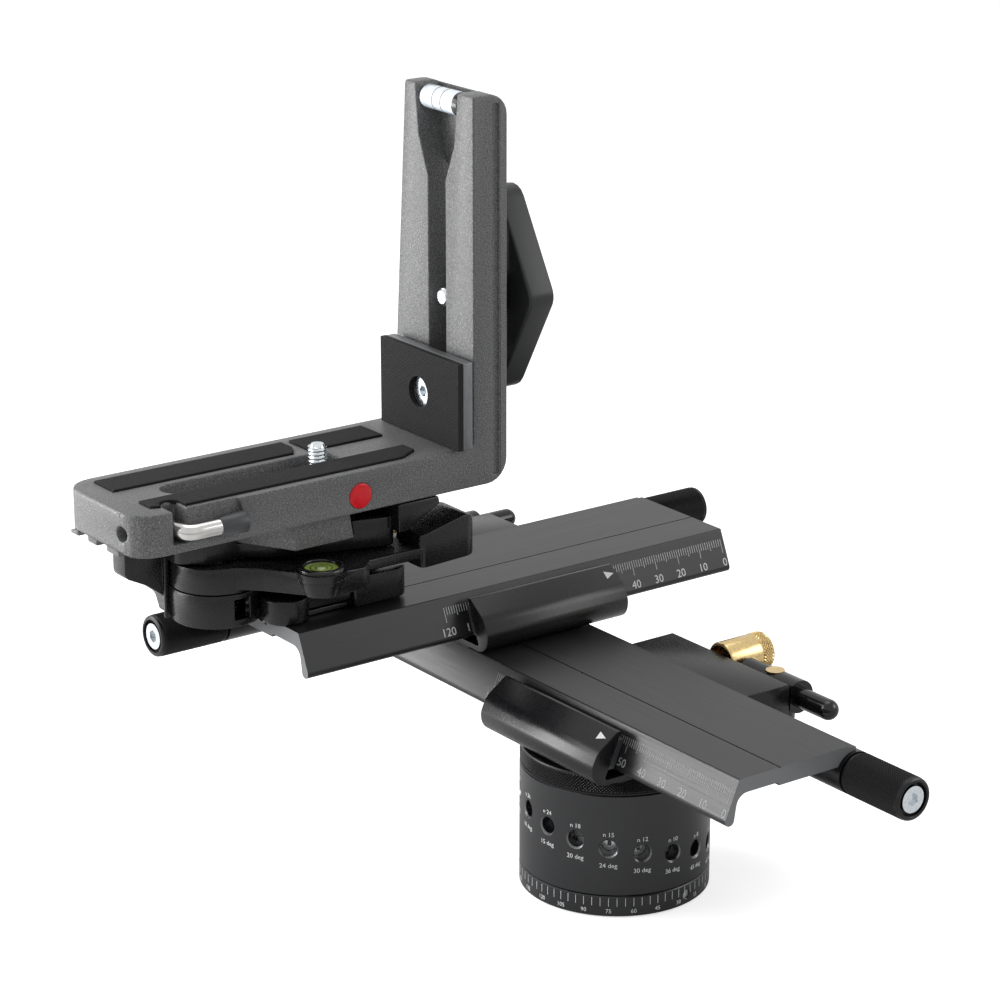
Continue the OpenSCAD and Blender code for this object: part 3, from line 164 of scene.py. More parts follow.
FINISHES = {
    "drum_black": finish("turned_anodised", (0.006, 0.0065, 0.008), 0.33, 0.0,
                         (700, 700, 9000), 0.25, 0.05, 0.004, 0.55),
    "lower_black": finish("brushed_along_lower", (0.016, 0.016, 0.017), 0.34, 0.1,
                          (25, 2600, 2600), 0.2, 0.05, 0.004, 0.32),
    "upper_black": finish("brushed_along_upper", (0.016, 0.016, 0.017), 0.34, 0.1,
                          (2600, 25, 2600), 0.2, 0.05, 0.004, 0.32),
    "hook_black": finish("satin_anodised", (0.006, 0.006, 0.007), 0.28, 0.0,
                         (500, 500, 500), 0.15, 0.02, 0.0, 0.34),
    "rim_steel": finish("dark_rim_steel", (0.16, 0.16, 0.165), 0.35, 0.8,
                        (1500, 1500, 1500), 0.2, 0.06, 0.004),
    "knurl_black": finish("knurl_black", (0.006, 0.006, 0.007), 0.32, 0.1,
                          (1500, 1500, 1500), 0.2, 0.05, 0.004, 0.35),
    "casting_black": finish("speckled_casting", (0.105, 0.106, 0.107), 0.44, 0.0,
                            (2300, 2300, 2300), 0.5, 0.10, 0.06, 0.35,
                            speckle=(2600, 0.60, (0.24, 0.24, 0.24)), detail=2.0),
    "clamp_black": finish("glossy_casting", (0.006, 0.006, 0.007), 0.27, 0.0,
                          (1300, 1300, 1300), 0.3, 0.07, 0.05, 0.35, detail=2.0),
    "steel": finish("turned_steel", (0.52, 0.53, 0.54), 0.28, 1.0, (800, 800, 2500), 0.12, 0.06, 0.004),
    "polished_steel": finish("polished_steel", (0.55, 0.54, 0.52), 0.16, 1.0,
                             (300, 300, 300), 0.06, 0.03, 0.002),
    "zinc": finish("bright_zinc", (0.62, 0.66, 0.69), 0.2, 1.0, (1200, 1200, 1200), 0.15, 0.06, 0.004),
    "brass": finish("polished_brass", (0.62, 0.46, 0.22), 0.24, 1.0, (900, 900, 900), 0.10, 0.05, 0.003),
    "rubber": finish("ribbed_rubber", (0.010, 0.010, 0.010), 0.7, 0.0,
                     (1500, 1500, 1500), 0.3, 0.08, 0.01, 0.2),
    "plastic_black": finish("satin_plastic", (0.020, 0.021, 0.022), 0.40, 0.0,
                            (2500, 2500, 2500), 0.15, 0.05, 0.01, 0.35),
    "plastic_grey": finish("grey_plastic", (0.045, 0.047, 0.05), 0.40, 0.0,
                           (2000, 2000, 2000), 0.15, 0.05, 0.008, 0.4),
    "plate_grey": finish("cut_aluminium", (0.17, 0.175, 0.18), 0.42, 0.5,
                         (2200, 2200, 300), 0.15, 0.06, 0.006),
    "level_yellow": finish("vial_liquid", (0.42, 0.56, 0.12), 0.14, 0.0,
                           (200, 200, 200), 0.10, 0.02, 0.0, 0.4, coat=0.6),
    "level_white": finish("vial_glass", (0.70, 0.76, 0.82), 0.15, 0.0,
                          (150, 150, 150), 0.06, 0.02, 0.0, 0.4, coat=0.6),
    "badge_red": finish("red_enamel", (0.60, 0.006, 0.012), 0.3, 0.0,
                        (400, 400, 400), 0.05, 0.02, 0.0, 0.2, coat=0.25),
    "paint": finish("white_engraving_paint", (0.66, 0.67, 0.67), 0.6, 0.0,
                    (2500, 2500, 2500), 0.12, 0.05, 0.0, 0.2),
    # painted shade: the white engraving paint made darker, for the lower scale
    "paint_in_painted_shade": finish("engraving_paint_in_painted_shade", (0.34, 0.34, 0.34), 0.6, 0.0,
                        (2500, 2500, 2500), 0.2, 0.05, 0.0, 0.2),
    "vial_line": finish("vial_line", (0.02, 0.03, 0.02), 0.4, 0.0, (800, 800, 800), 0.1, 0.05, 0.0),
    "gloss_black": finish("gloss_black", (0.005, 0.005, 0.006), 0.15, 0.0,
                          (600, 600, 600), 0.2, 0.04, 0.0, 0.4),
    "bubble": finish("vial_bubble", (0.72, 0.80, 0.45), 0.08, 0.0,
                     (200, 200, 200), 0.05, 0.02, 0.0, coat=0.6),
}
END_FACE_GREY = (0.16, 0.165, 0.17)
SQUARE = 0.99


def finish_for(node):
    """The finish of a solid, from its slot; the slides are brushed along their own length."""
    slot = SLOTS[node]
    if node.endswith("_carriage"):
        return FINISHES["hook_black"]
    if node.endswith("_release_lever"):
        return FINISHES["gloss_black"]
    if node == "camera_plate":
        return FINISHES["plate_grey"]
    if slot == "slide_black":
        return FINISHES["upper_black" if node.startswith("upper") else "lower_black"]
    return FINISHES[slot]


def sawn_ends(material, axis):
    """Gives the faces square to an axis (0 x, 1 y) a lighter grey than the black sides, by the object's own
    normal.
    """
    nodes, links = material.node_tree.nodes, material.node_tree.links
    surface = nodes["Principled BSDF"]
    place = nodes.new("ShaderNodeTexCoord")
    parts = nodes.new("ShaderNodeSeparateXYZ")
    links.new(place.outputs["Normal"], parts.inputs["Vector"])
    size = nodes.new("ShaderNodeMath")
    size.operation = "ABSOLUTE"
    links.new(parts.outputs[axis], size.inputs[0])
    cut = nodes.new("ShaderNodeMath")
    cut.operation = "GREATER_THAN"
    cut.inputs[1].default_value = SQUARE
    links.new(size.outputs["Value"], cut.inputs[0])
    mix = nodes.new("ShaderNodeMix")
    mix.data_type = "RGBA"
    links.new(cut.outputs["Value"], mix.inputs["Factor"])
    links.new(surface.inputs["Base Color"].links[0].from_socket, mix.inputs[MIX_FIRST])
    mix.inputs[MIX_SECOND].default_value = (*END_FACE_GREY, 1)
    links.new(mix.outputs[MIX_RESULT], surface.inputs["Base Color"])


sawn_ends(FINISHES["lower_black"], 0)
sawn_ends(FINISHES["upper_black"], 1)

for node, solid in NODES.items():
    solid.data.materials.clear()
    solid.data.materials.append(finish_for(node))


# Making pieces

POINT_RADIUS = 1e-9
WELD = 0.003
WELD_AFTER = 0.002
FLAT_ANGLE = 0.6
UPRIGHT = 0.9
CREASE = 34


def make_piece(name, shells, body, finishes, stands_for=(), sharp=35):
    """A mesh from shells, each (points in millimetres, faces, index of its finish), riding on a body.
    Edges sharper than sharp, in degrees, stay crisp."""
    points, faces, marks, start = [], [], [], 0
    for shell_points, shell_faces, mark in shells:
        points.append(np.asarray(shell_points, float))
        faces.extend([[int(i) + start for i in face] for face in shell_faces])
        marks.extend([mark] * len(shell_faces))
        start += len(shell_points)
    mesh = bpy.data.meshes.new(name)
    mesh.from_pydata((np.concatenate(points) * MM).tolist(), [], faces)
    for look in finishes:
        mesh.materials.append(look)
    mesh.polygons.foreach_set("material_index", np.array(marks, np.int32))
    mesh.polygons.foreach_set("use_smooth", np.ones(len(faces), bool))
    mesh.update()
    mesh.set_sharp_from_angle(angle=math.radians(sharp))
    piece = bpy.data.objects.new(name, mesh)
    bpy.context.scene.collection.objects.link(piece)
    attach(piece, body)
    if stands_for:
        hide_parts(*stands_for)
    return piece


def along(points, origin, axis):
    """Points given as (along, out, side) of an axis, "x", "-x", "y", "-y" or "z", moved to origin."""
    a, b, c = points[:, 0], points[:, 1], points[:, 2]
    turned = {"x": (a, b, c), "-x": (-a, -b, c), "y": (-b, a, c), "-y": (b, -a, c), "z": (b, c, a)}[axis]
    return np.stack(turned, 1) + np.asarray(origin, float)


def turned_out(points, azimuth):
    """Points given as (out, side, up) of a ray from the turning axis, at its azimuth in degrees."""
    c, s = math.cos(math.radians(azimuth)), math.sin(math.radians(azimuth))
    return points @ np.array([[c, s, 0], [-s, c, 0], [0, 0, 1]])


def softened(node, width, segments=2, sharper=32):
    """A copy of a solid with its edges sharper than an angle in degrees rounded, width in millimetres."""
    shape = bmesh.new()
    shape.from_mesh(NODES[node].data)
    shape.transform(NODES[node].matrix_world)
    bmesh.ops.remove_doubles(shape, verts=shape.verts, dist=WELD * MM)
    bmesh.ops.dissolve_limit(shape, angle_limit=math.radians(FLAT_ANGLE), verts=shape.verts,
                             edges=shape.edges)
    bmesh.ops.connect_verts_concave(shape, faces=shape.faces)
    limit = math.radians(sharper)
    rims = [edge for edge in shape.edges if len(edge.link_faces) == 2 and edge.calc_face_angle() > limit]
    bmesh.ops.bevel(shape, geom=rims, offset=width * MM, offset_type="OFFSET", segments=segments,
                    profile=0.5, affect="EDGES", clamp_overlap=False)
    bmesh.ops.remove_doubles(shape, verts=shape.verts, dist=WELD_AFTER * MM)
    wide_faces = [face for face in shape.faces if len(face.verts) > 4]
    bmesh.ops.triangulate(shape, faces=wide_faces, ngon_method="EAR_CLIP")
    mesh = bpy.data.meshes.new(node + "_softened")
    shape.to_mesh(mesh)
    shape.free()
    mesh.materials.clear()
    mesh.materials.append(finish_for(node))
    mesh.polygons.foreach_set("use_smooth", np.ones(len(mesh.polygons), bool))
    mesh.set_sharp_from_angle(angle=math.radians(CREASE))
    piece = bpy.data.objects.new(node + "_softened", mesh)
    bpy.context.scene.collection.objects.link(piece)
    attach(piece, body_of(node))
    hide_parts(node)
    return piece


def revolved(rows, count, closed=False):
    """Surface of revolution: rows are (distance along the axis, radius), the radius a number or one value
    for each of count columns. Rows of radius zero become one point, and a closed surface joins its last
    row to its first."""
    turn = 2 * np.pi * np.arange(count) / count
    points, index, total = [], [], 0
    for distance, radius in rows:
        radius = np.broadcast_to(np.asarray(radius, float), (count,))
        if radius.max() < POINT_RADIUS:
            points.append(np.array([[distance, 0, 0]]))
            index.append(np.full(count, total))
            total += 1
        else:
            ring = (np.full(count, distance), radius * np.cos(turn), radius * np.sin(turn))
            points.append(np.stack(ring, 1))
            index.append(np.arange(total, total + count))
            total += count
    faces = []
    pairs = list(zip(index[:-1], index[1:])) + ([(index[-1], index[0])] if closed else [])
    for k, (low, high) in enumerate(pairs):
        a, b, c, d = low, np.roll(low, -1), np.roll(high, -1), high
        if low[0] == low[-1]:
            faces.append(np.stack([a, c, d], 1))
        elif high[0] == high[-1]:
            faces.append(np.stack([a, b, d], 1))
        else:
            flip = (np.arange(count) + k) % 2 == 0
            first = np.where(flip[:, None], np.stack([a, b, c], 1), np.stack([a, b, d], 1))
            second = np.where(flip[:, None], np.stack([a, c, d], 1), np.stack([b, c, d], 1))
            faces.append(np.concatenate([first, second]))
    return np.concatenate(points), np.concatenate(faces)[:, ::-1]


def knurl_rows(start, end, radius, depth, count):
    """Rows of a diamond knurl: the radius alternates between peak and valley from column to column and
    row to row, and the rows are as far apart as the columns."""
    step = 2 * math.pi * radius / count
    rows = max(2, int(round((end - start) / step / 2)) * 2)
    column = np.arange(count)
    made = []
    for k in range(rows + 1):
        peak = ((column + k) % 2 == 1) & (0 < k < rows)
        made.append((start + (end - start) * k / rows, np.where(peak, radius, radius - depth)))
    return made


def threaded_rows(start, end, radius, depth, pitch, count, each=8):
    """Rows of a screw thread, each rows to a turn: the radius is a triangle wave of distance / pitch less
    the turn, with its crests and roots cut flat."""
    steep, flat = 1.5, 0.25
    column = np.arange(count) / count
    rows = max(2, int(round((end - start) / pitch * each)))
    made = []
    for k in range(rows + 1):
        distance = start + (end - start) * k / rows
        phase = (distance / pitch - column) % 1
        wave = np.clip(np.abs(phase * 2 - 1) * steep - flat, 0, 1)
        made.append((distance, radius - depth * wave))
    return made


def tube(path, radius, sides):
    """A round tube through path points, with flat ends: rings square to the path, turned as little as
    possible from one to the next."""
    path = np.asarray(path, float)
    ahead = np.gradient(path, axis=0)
    ahead /= np.linalg.norm(ahead, axis=1)[:, None]
    side = np.cross(ahead[0], (0, 0, 1) if abs(ahead[0][2]) < UPRIGHT else (1, 0, 0))
    side /= np.linalg.norm(side)
    turn = 2 * np.pi * np.arange(sides) / sides
    rings = []
    for point, direction in zip(path, ahead):
        side = side - direction * (side @ direction)
        side /= np.linalg.norm(side)
        other = np.cross(direction, side)
        rings.append(point + radius * (np.cos(turn)[:, None] * side + np.sin(turn)[:, None] * other))
    k, j = np.meshgrid(np.arange(len(path) - 1), np.arange(sides), indexing="ij")
    a, b = k * sides + j, k * sides + (j + 1) % sides
    faces = np.stack([a, b, b + sides, a + sides], -1).reshape(-1, 4).tolist()
    faces.append(list(range(sides))[::-1])
    faces.append([(len(path) - 1) * sides + i for i in range(sides)])
    return np.concatenate(rings), faces


CAPITAL_SHARE = 0.73
LETTER_STEPS = 3
MARK_THICK = 0.06


def words(text, height):
    """Flat raised lettering of one word, centred on the origin: x along the word, y up, z out."""
    curve = bpy.data.curves.new("words", "FONT")
    curve.body = text
    curve.size = height / CAPITAL_SHARE * MM
    curve.align_x = "CENTER"
    curve.extrude = MARK_THICK / 2 * MM
    curve.resolution_u = LETTER_STEPS
    holder = bpy.data.objects.new("words", curve)
    bpy.context.scene.collection.objects.link(holder)
    bpy.context.view_layer.update()
    mesh = holder.to_mesh()
    points = np.array([v.co for v in mesh.vertices], float) / MM
    faces = [list(p.vertices) for p in mesh.polygons]
    holder.to_mesh_clear()
    bpy.data.objects.remove(holder)
    bpy.data.curves.remove(curve)
    points[:, 1] -= height / 2
    return points, faces


def bar(width, height):
    """A flat raised line of a scale, centred on the origin: width along x, height along y."""
    x, y, z = width / 2, height / 2, MARK_THICK / 2
    points = np.array([[sx * x, sy * y, sz * z] for sx in (-1, 1) for sy in (-1, 1) for sz in (-1, 1)])
    faces = [[0, 1, 3, 2], [4, 6, 7, 5], [0, 4, 5, 1], [2, 3, 7, 6], [0, 2, 6, 4], [1, 5, 7, 3]]
    return points, faces


def wrapped(shape, radius, azimuth, z):
    """A flat shape laid on a cylinder about the turning axis: x becomes an arc, z the distance out."""
    points, faces = shape
    angle = math.radians(azimuth) + points[:, 0] / radius
    out = radius + points[:, 2]
    return np.stack([out * np.cos(angle), out * np.sin(angle), z + points[:, 1]], 1), faces


def laid(shape, origin, right, up):
    """A flat shape laid on a plane through origin, x along right and y along up."""
    points, faces = shape
    right, up = np.asarray(right, float), np.asarray(up, float)
    right, up = right / np.linalg.norm(right), up / np.linalg.norm(up)
    out = np.cross(right, up)
    place = points[:, :1] * right + points[:, 1:2] * up + points[:, 2:] * out
    return np.asarray(origin, float) + place, faces


UPPER_SHIFT = (-78.68, 11.3, 18.45)


def to_upper(points):
    """Millimetre points of the lower slide, turned a quarter and moved to the upper slide's place."""
    x, y, z = np.asarray(points, float).T
    return np.stack([-y, x, z], 1) + UPPER_SHIFT


# Knurled knobs

SCREW_BORE = 3.05
KNURL_SHARP = 20

# Rounded rims: (distance from the start, or back from the end, and depth below the radius)

SCREW_KNOB_START = ((0.0, 0.7), (0.7, 0.3))
SCREW_KNOB_END = ((1.1, 0.25), (0.9, 0.12), (0.45, 0.3), (0.1, 0.75), (0.0, 1.1))
BRASS_START = ((0.0, 0.45), (0.3, 0.2), (0.6, 0.12))
BRASS_NECK = ((0.5, 0.12), (0.3, 0.3))
BRASS_END = ((0.5, 0.3), (0.15, 0.6), (0.0, 1.0))
COLLAR_START = ((0.0, 0.5), (0.25, 0.2), (0.7, 0.15))
COLLAR_END = ((0.7, 0.2), (0.2, 0.35), (0.0, 0.8))
PLUNGER_START = ((0.0, 0.5), (0.3, 0.2))
PLUNGER_END = ((0.8, 0.25), (0.3, 0.4), (0.0, 0.9))

# Hollow ends: (distance back from the end, radius)

BRASS_HOLLOW = ((0.0, 3.6), (0.2, 3.35), (1.3, 3.3), (1.5, 0.0))
PLUNGER_HOLLOW = ((0.0, 3.4), (0.4, 3.1), (0.4, 0.0))


def rim(radius, profile, end=None):
    """Rows of a rounded rim, from the start of a shape or, where an end is given, back from that end."""
    return [(step if end is None else end - step, radius - below) for step, below in profile]


def hollow(end, profile):
    """Rows of a hollow end, whose profile gives the radius itself."""
    return [(end - step, radius) for step, radius in profile]


def screw_knobs(level):
    """Two diamond knurled knobs at the ends of a lead screw, each hollowed for its screw head: a profile
    of (distance from the inner end, radius), turned about the screw."""
    low, high = corners(level + "_screw_knobs")
    axis = 0 if level == "lower" else 1
    radius = (high[2] - low[2]) / 2
    middle = (low + high) / 2
    length, recess, depth = 26.0, 5.5, 2.2
    columns, cut, knurl_start, knurl_stop = 112, 0.36, 1.0, 1.3
    rows = [(0.0, SCREW_BORE)] + rim(radius, SCREW_KNOB_START)
    rows += knurl_rows(knurl_start, length - knurl_stop, radius, cut, columns)
    rows += rim(radius, SCREW_KNOB_END, length)
    rows += hollow(length, ((0.0, recess + 0.25), (0.3, recess), (depth, recess), (depth, SCREW_BORE)))
    points, faces = revolved(rows, columns, closed=True)
    shells = []
    for end, sign in ((high[axis] - length, ""), (low[axis] + length, "-")):
        origin = middle.copy()
        origin[axis] = end
        shells.append((along(points, origin, sign + AXES[axis]), faces, 0))
    make_piece(level + "_knurled_knobs", shells, level + "_screw", [FINISHES["knurl_black"]],
               [level + "_screw_knobs"], KNURL_SHARP)


def brass_knob(level):
    """The brass clamp knob: a smooth cup and a knurled, hollow head, turned about its own axis."""
    low, high = corners(level + "_clamp_knob")
    if level == "lower":
        axis, sign, name, tip, inner, radius = 1, 1, "y", high[1], high[1] - low[1], (high[0] - low[0]) / 2
    else:
        axis, sign, name, tip, inner, radius = 0, -1, "-x", low[0], high[0] - low[0], (high[1] - low[1]) / 2
    length, head, stem, cup, cup_deep = 18.8, 4.9, 2.5, 5.3, 6.9
    columns, cut, knurl_stop = 72, 0.42, 0.7
    rows = [(length - inner, 0.0), (length - inner, stem), (cup_deep, stem), (cup_deep + 0.1, cup),
            (0.1, cup + 0.1), (0.0, cup + 0.3)]
    rows += rim(radius, BRASS_START) + rim(radius, BRASS_NECK, length - head)
    rows += knurl_rows(length - head, length - knurl_stop, radius, cut, columns)
    rows += rim(radius, BRASS_END, length) + hollow(length, BRASS_HOLLOW)
    points, faces = revolved(rows, columns)
    origin = (low + high) / 2
    origin[axis] = tip - sign * length
    make_piece(level + "_brass_knob", [(along(points, origin, name), faces, 0)], level + "_knob",
               [FINISHES["brass"]], [level + "_clamp_knob"], KNURL_SHARP)


def platform_collar():
    """The disc above the drum, with a diamond knurled rim between two plain beads."""
    low, high = corners("platform_disc")
    radius, thick, bore = high[0], high[2] - low[2], 12.3
    columns, cut, bead = 340, 0.42, 0.8
    rows = [(0.0, bore)] + rim(radius, COLLAR_START)
    rows += knurl_rows(bead, thick - bead, radius, cut, columns)
    rows += rim(radius, COLLAR_END, thick) + [(thick, bore)]
    points, faces = revolved(rows, columns, closed=True)
    make_piece("knurled_collar", [(along(points, (0, 0, low[2]), "z"), faces, 0)], "turret",
               [FINISHES["knurl_black"]], ["platform_disc"], KNURL_SHARP)


for level in ("lower", "upper"):
    screw_knobs(level)
for level in ("lower", "upper"):
    brass_knob(level)
platform_collar()


# Solids with rounded edges, and the width of the rounding

for node, width in (("elbow_bracket", 0.45), ("clamp_body", 0.35), ("clamp_lever", 0.3),
                    ("camera_plate", 0.4), ("quick_plate", 0.3), ("lower_carriage", 0.22),
                    ("upper_carriage", 0.22), ("base_plate", 0.3), ("plunger_bush", 0.15)):
    softened(node, width)
softened("diamond_knob", 1.1, 4)


# Rods, threads and springs

STUD = 3.175
STUD_CUT = 0.42
STUD_PITCH = 1.27
STUD_COLUMNS = 48
STUD_TIP = ((0.8, 0.45), (0.0, 1.1))
STUD_START = ((0.0, 0.9), (0.5, 0.45))
STUD_END = ((0.0, 0.45),)
CAP_START = ((0.0, 2.86), (0.12, 2.97))
CAP_END = ((0.7, 3.54), (0.35, 3.46), (0.1, 3.22), (0.0, 2.8), (0.0, 0.0))
THREAD_SHARP = 32
ROD_SHARP = 50
DISC_SHARP = 40


def lead_screws():
    """The two lead screws: a rounded thread between plain journals, with a screw hole in each end."""
    journal, crest, root_start, hole, hole_deep = 3.0, 3.9, 27.3, 2.02, 12.0
    cut, pitch, edge, columns = 0.8, 2.0, 0.3, 36
    for level, axis in (("lower", 0), ("upper", 1)):
        low, high = corners(level + "_lead_screw")
        length, origin = high[axis] - low[axis], (low + high) / 2
        origin[axis] = low[axis]
        root_end = length - root_start
        rows = [(hole_deep, 0.0), (hole_deep, hole), (0.0, hole), (0.0, journal - edge), (edge, journal),
                (root_start - 0.1, journal), (root_start, crest - cut)]
        rows += threaded_rows(root_start + 0.1, root_end - 0.1, crest, cut, pitch, columns)
        rows += [(root_end, crest - cut), (root_end + 0.1, journal), (length - edge, journal),
                 (length, journal - edge), (length, hole), (length - hole_deep, hole),
                 (length - hole_deep, 0.0)]
        points, faces = revolved(rows, columns)
        shell = (along(points, origin, AXES[axis]), faces, 0)
        make_piece(level + "_threaded_rod", [shell], level + "_screw", [FINISHES["steel"]],
                   [level + "_lead_screw"], THREAD_SHARP)


def stop_parts():
    """The bent polished stop rod, a tube round a quarter arc, and its tapered cap."""
    low, high = corners("stop_lever")
    radius, bend, straight, end_run, steps, sides = (high[2] - low[2]) / 2, 4.2, 2, 4, 13, 32
    x, y, z = high[0] - radius, low[1] + radius, (low[2] + high[2]) / 2
    angle = np.radians(np.linspace(-90, 0, steps))
    arc = np.stack([x - bend + bend * np.cos(angle), y + bend + bend * np.sin(angle), np.full(steps, z)], 1)
    path = [(low[0], y, z), (low[0] + end_run, y, z), (x - bend - straight, y, z)]
    path += arc.tolist()
    path += [(x, y + bend + straight, z), (x, high[1] - end_run, z), (x, high[1], z)]
    points, faces = tube(path, radius, sides)
    make_piece("bent_stop_rod", [(points, faces, 0)], "stop", [FINISHES["polished_steel"]],
               ["stop_lever"], ROD_SHARP)
    low, high = corners("stop_cap")
    wall, bore, columns = 2, radius + 0.02, 48
    length, reach = high[1] - low[1], high[1] - wall - low[1]
    rows = [(reach, 0.0), (reach, bore), (0.0, bore), *CAP_START] + hollow(length, CAP_END)
    points, faces = revolved(rows, columns)
    make_piece("tapered_cap", [(along(points, (x, low[1], z), "y"), faces, 0)], "stop",
               [FINISHES["plastic_grey"]], ["stop_cap"], DISC_SHARP)


def coil():
    """The round wire of the clamp's spring: height = pitch times turns."""
    low, high = corners("torsion_spring")
    wire, pitch, clear, steps, sides = 0.75, 2.1, 0.01, 48, 14
    middle, radius = (low + high) / 2, (high[0] - low[0]) / 2 - wire
    turns = (high[2] - low[2] - 2 * wire) / pitch
    t = np.linspace(0, turns, int(turns * steps) + 1)
    path = np.stack([middle[0] + radius * np.cos(2 * np.pi * t), middle[1] + radius * np.sin(2 * np.pi * t),
                     low[2] + wire + pitch * t], 1)
    points, faces = tube(path, wire - clear, sides)
    make_piece("round_wire_coil", [(points, faces, 0)], body_of("torsion_spring"),
               [FINISHES["zinc"]], ["torsion_spring"], ROD_SHARP)


def half_disc(radius, half_slot, z0, z1, sign):
    """A slice of a disc beyond a straight slot: prism of the arc where sign * x > half_slot."""
    reach, steps = math.acos(half_slot / radius), 41
    angle = np.linspace(-reach, reach, steps) + (0 if sign > 0 else math.pi)
    ring = np.stack([radius * np.cos(angle), radius * np.sin(angle)], 1)
    count = len(ring)
    points = np.concatenate([np.column_stack([ring, np.full(count, z)]) for z in (z0, z1)])
    faces = [[i, (i + 1) % count, count + (i + 1) % count, count + i] for i in range(count)]
    faces += [list(range(count))[::-1], [count + i for i in range(count)]]
    return points, faces


def camera_stud():
    """The quarter inch camera screw: two half discs beside the slot, the head and the threaded stud."""
    low, high = corners("camera_screw")
    centre, radius = (low + high) / 2, (high[0] - low[0]) / 2
    slot_deep, half_slot, head_tall, edge = 1.4, 0.7, 5.1, 0.4
    z0, top = low[2], high[2]
    slot_top, head_top = z0 + slot_deep, z0 + head_tall
    rows = [(slot_top, 0.0), (slot_top, radius), (head_top - edge, radius), (head_top, radius - edge),
            (head_top, STUD - edge)]
    rows += threaded_rows(head_top + 0.1, top - 0.9, STUD, STUD_CUT, STUD_PITCH, STUD_COLUMNS)
    rows += rim(STUD, STUD_TIP, top) + [(top, 0.0)]
    points, faces = revolved(rows, STUD_COLUMNS)
    shells = [(along(points, (centre[0], centre[1], 0), "z"), faces, 0)]
    for sign in (1, -1):
        points, faces = half_disc(radius, half_slot, z0, slot_top, sign)
        shells.append((points + [centre[0], centre[1], 0], faces, 0))
    make_piece("threaded_camera_screw", shells, body_of("camera_screw"), [FINISHES["zinc"]],
               ["camera_screw"], THREAD_SHARP)


def arm_stud():
    """The threaded rod that the diamond knob turns."""
    low, high = corners("arm_screw")
    length, middle = high[1] - low[1], (low + high) / 2
    rows = [(0.0, 0.0)] + rim(STUD, STUD_START)
    rows += threaded_rows(0.6, length - 0.1, STUD, STUD_CUT, STUD_PITCH, STUD_COLUMNS)
    rows += rim(STUD, STUD_END, length) + [(length, 0.0)]
    points, faces = revolved(rows, STUD_COLUMNS)
    make_piece("threaded_arm_screw", [(along(points, (middle[0], low[1], middle[2]), "y"), faces, 0)],
               body_of("arm_screw"), [FINISHES["zinc"]], ["arm_screw"], THREAD_SHARP)


lead_screws()
stop_parts()
coil()
camera_stud()
arm_stud()


# Levels and badge

LINE_PROUD = 0.03
DISC_COLUMNS = 96
ROD_COLUMNS = 64
BUBBLE_COLUMNS = 48
LEVEL_RIM = ((0.8, 0.0), (0.35, 0.12), (0.08, 0.45), (0.0, 0.8))
BADGE_RIM = ((0.4, 0.0), (0.12, 0.2), (0.0, 0.6))


def round_level():
    """The round level: a turned rim, the crowned liquid with two circles, and a domed bubble."""
    low, high = corners("level_ring")
    middle, top, outer = (low + high) / 2, high[2] - low[2], (high[0] - low[0]) / 2
    vial_low, vial_high = corners("level_vial")
    inner, tall = (vial_high[0] - vial_low[0]) / 2, vial_high[2] - vial_low[2]
    rows = [(0.0, inner + 0.02), (0.0, outer)] + rim(outer, LEVEL_RIM, top)
    rows += [(top - 0.05, inner + 0.45), (top - 0.3, inner + 0.12), (top - 0.6, inner + 0.02)]
    points, faces = revolved(rows, DISC_COLUMNS, closed=True)
    make_piece("level_rim", [(along(points, (middle[0], middle[1], low[2]), "z"), faces, 0)],
               body_of("level_ring"), [FINISHES["gloss_black"]], ["level_ring"], ROD_SHARP)
    rows = [(0.0, 0.0), (0.0, inner), (tall - 0.35, inner), (tall - 0.12, inner - 0.25), (tall - 0.04, 3.0),
            (tall, 0.0)]
    points, faces = revolved(rows, DISC_COLUMNS)
    place = (middle[0], middle[1], vial_low[2])
    shells = [(along(points, place, "z"), faces, 0)]
    half_line, sunk = 0.16, 0.02
    for radius in (1.9, 3.6):
        rows = [(tall - sunk, radius + half_line), (tall + LINE_PROUD, radius + half_line),
                (tall + LINE_PROUD, radius - half_line), (tall - sunk, radius - half_line)]
        points, faces = revolved(rows, ROD_COLUMNS, closed=True)
        shells.append((along(points, place, "z"), faces, 1))
    dome_high, dome_wide, base = 0.22, 1.55, tall - 0.05
    angle = np.linspace(0, math.pi / 2, 7)[:-1]
    rows = [(base - 0.05, 0.0)]
    rows += [(base + dome_high * math.sin(a), dome_wide * math.cos(a)) for a in angle]
    rows += [(base + dome_high, 0.0)]
    points, faces = revolved(rows, BUBBLE_COLUMNS)
    off_x, off_y = 0.5, -0.3
    shells.append((along(points, (place[0] + off_x, place[1] + off_y, place[2]), "z"), faces, 2))
    make_piece("level_face", shells, body_of("level_vial"),
               [FINISHES["level_yellow"], FINISHES["vial_line"], FINISHES["bubble"]], ["level_vial"],
               DISC_SHARP)


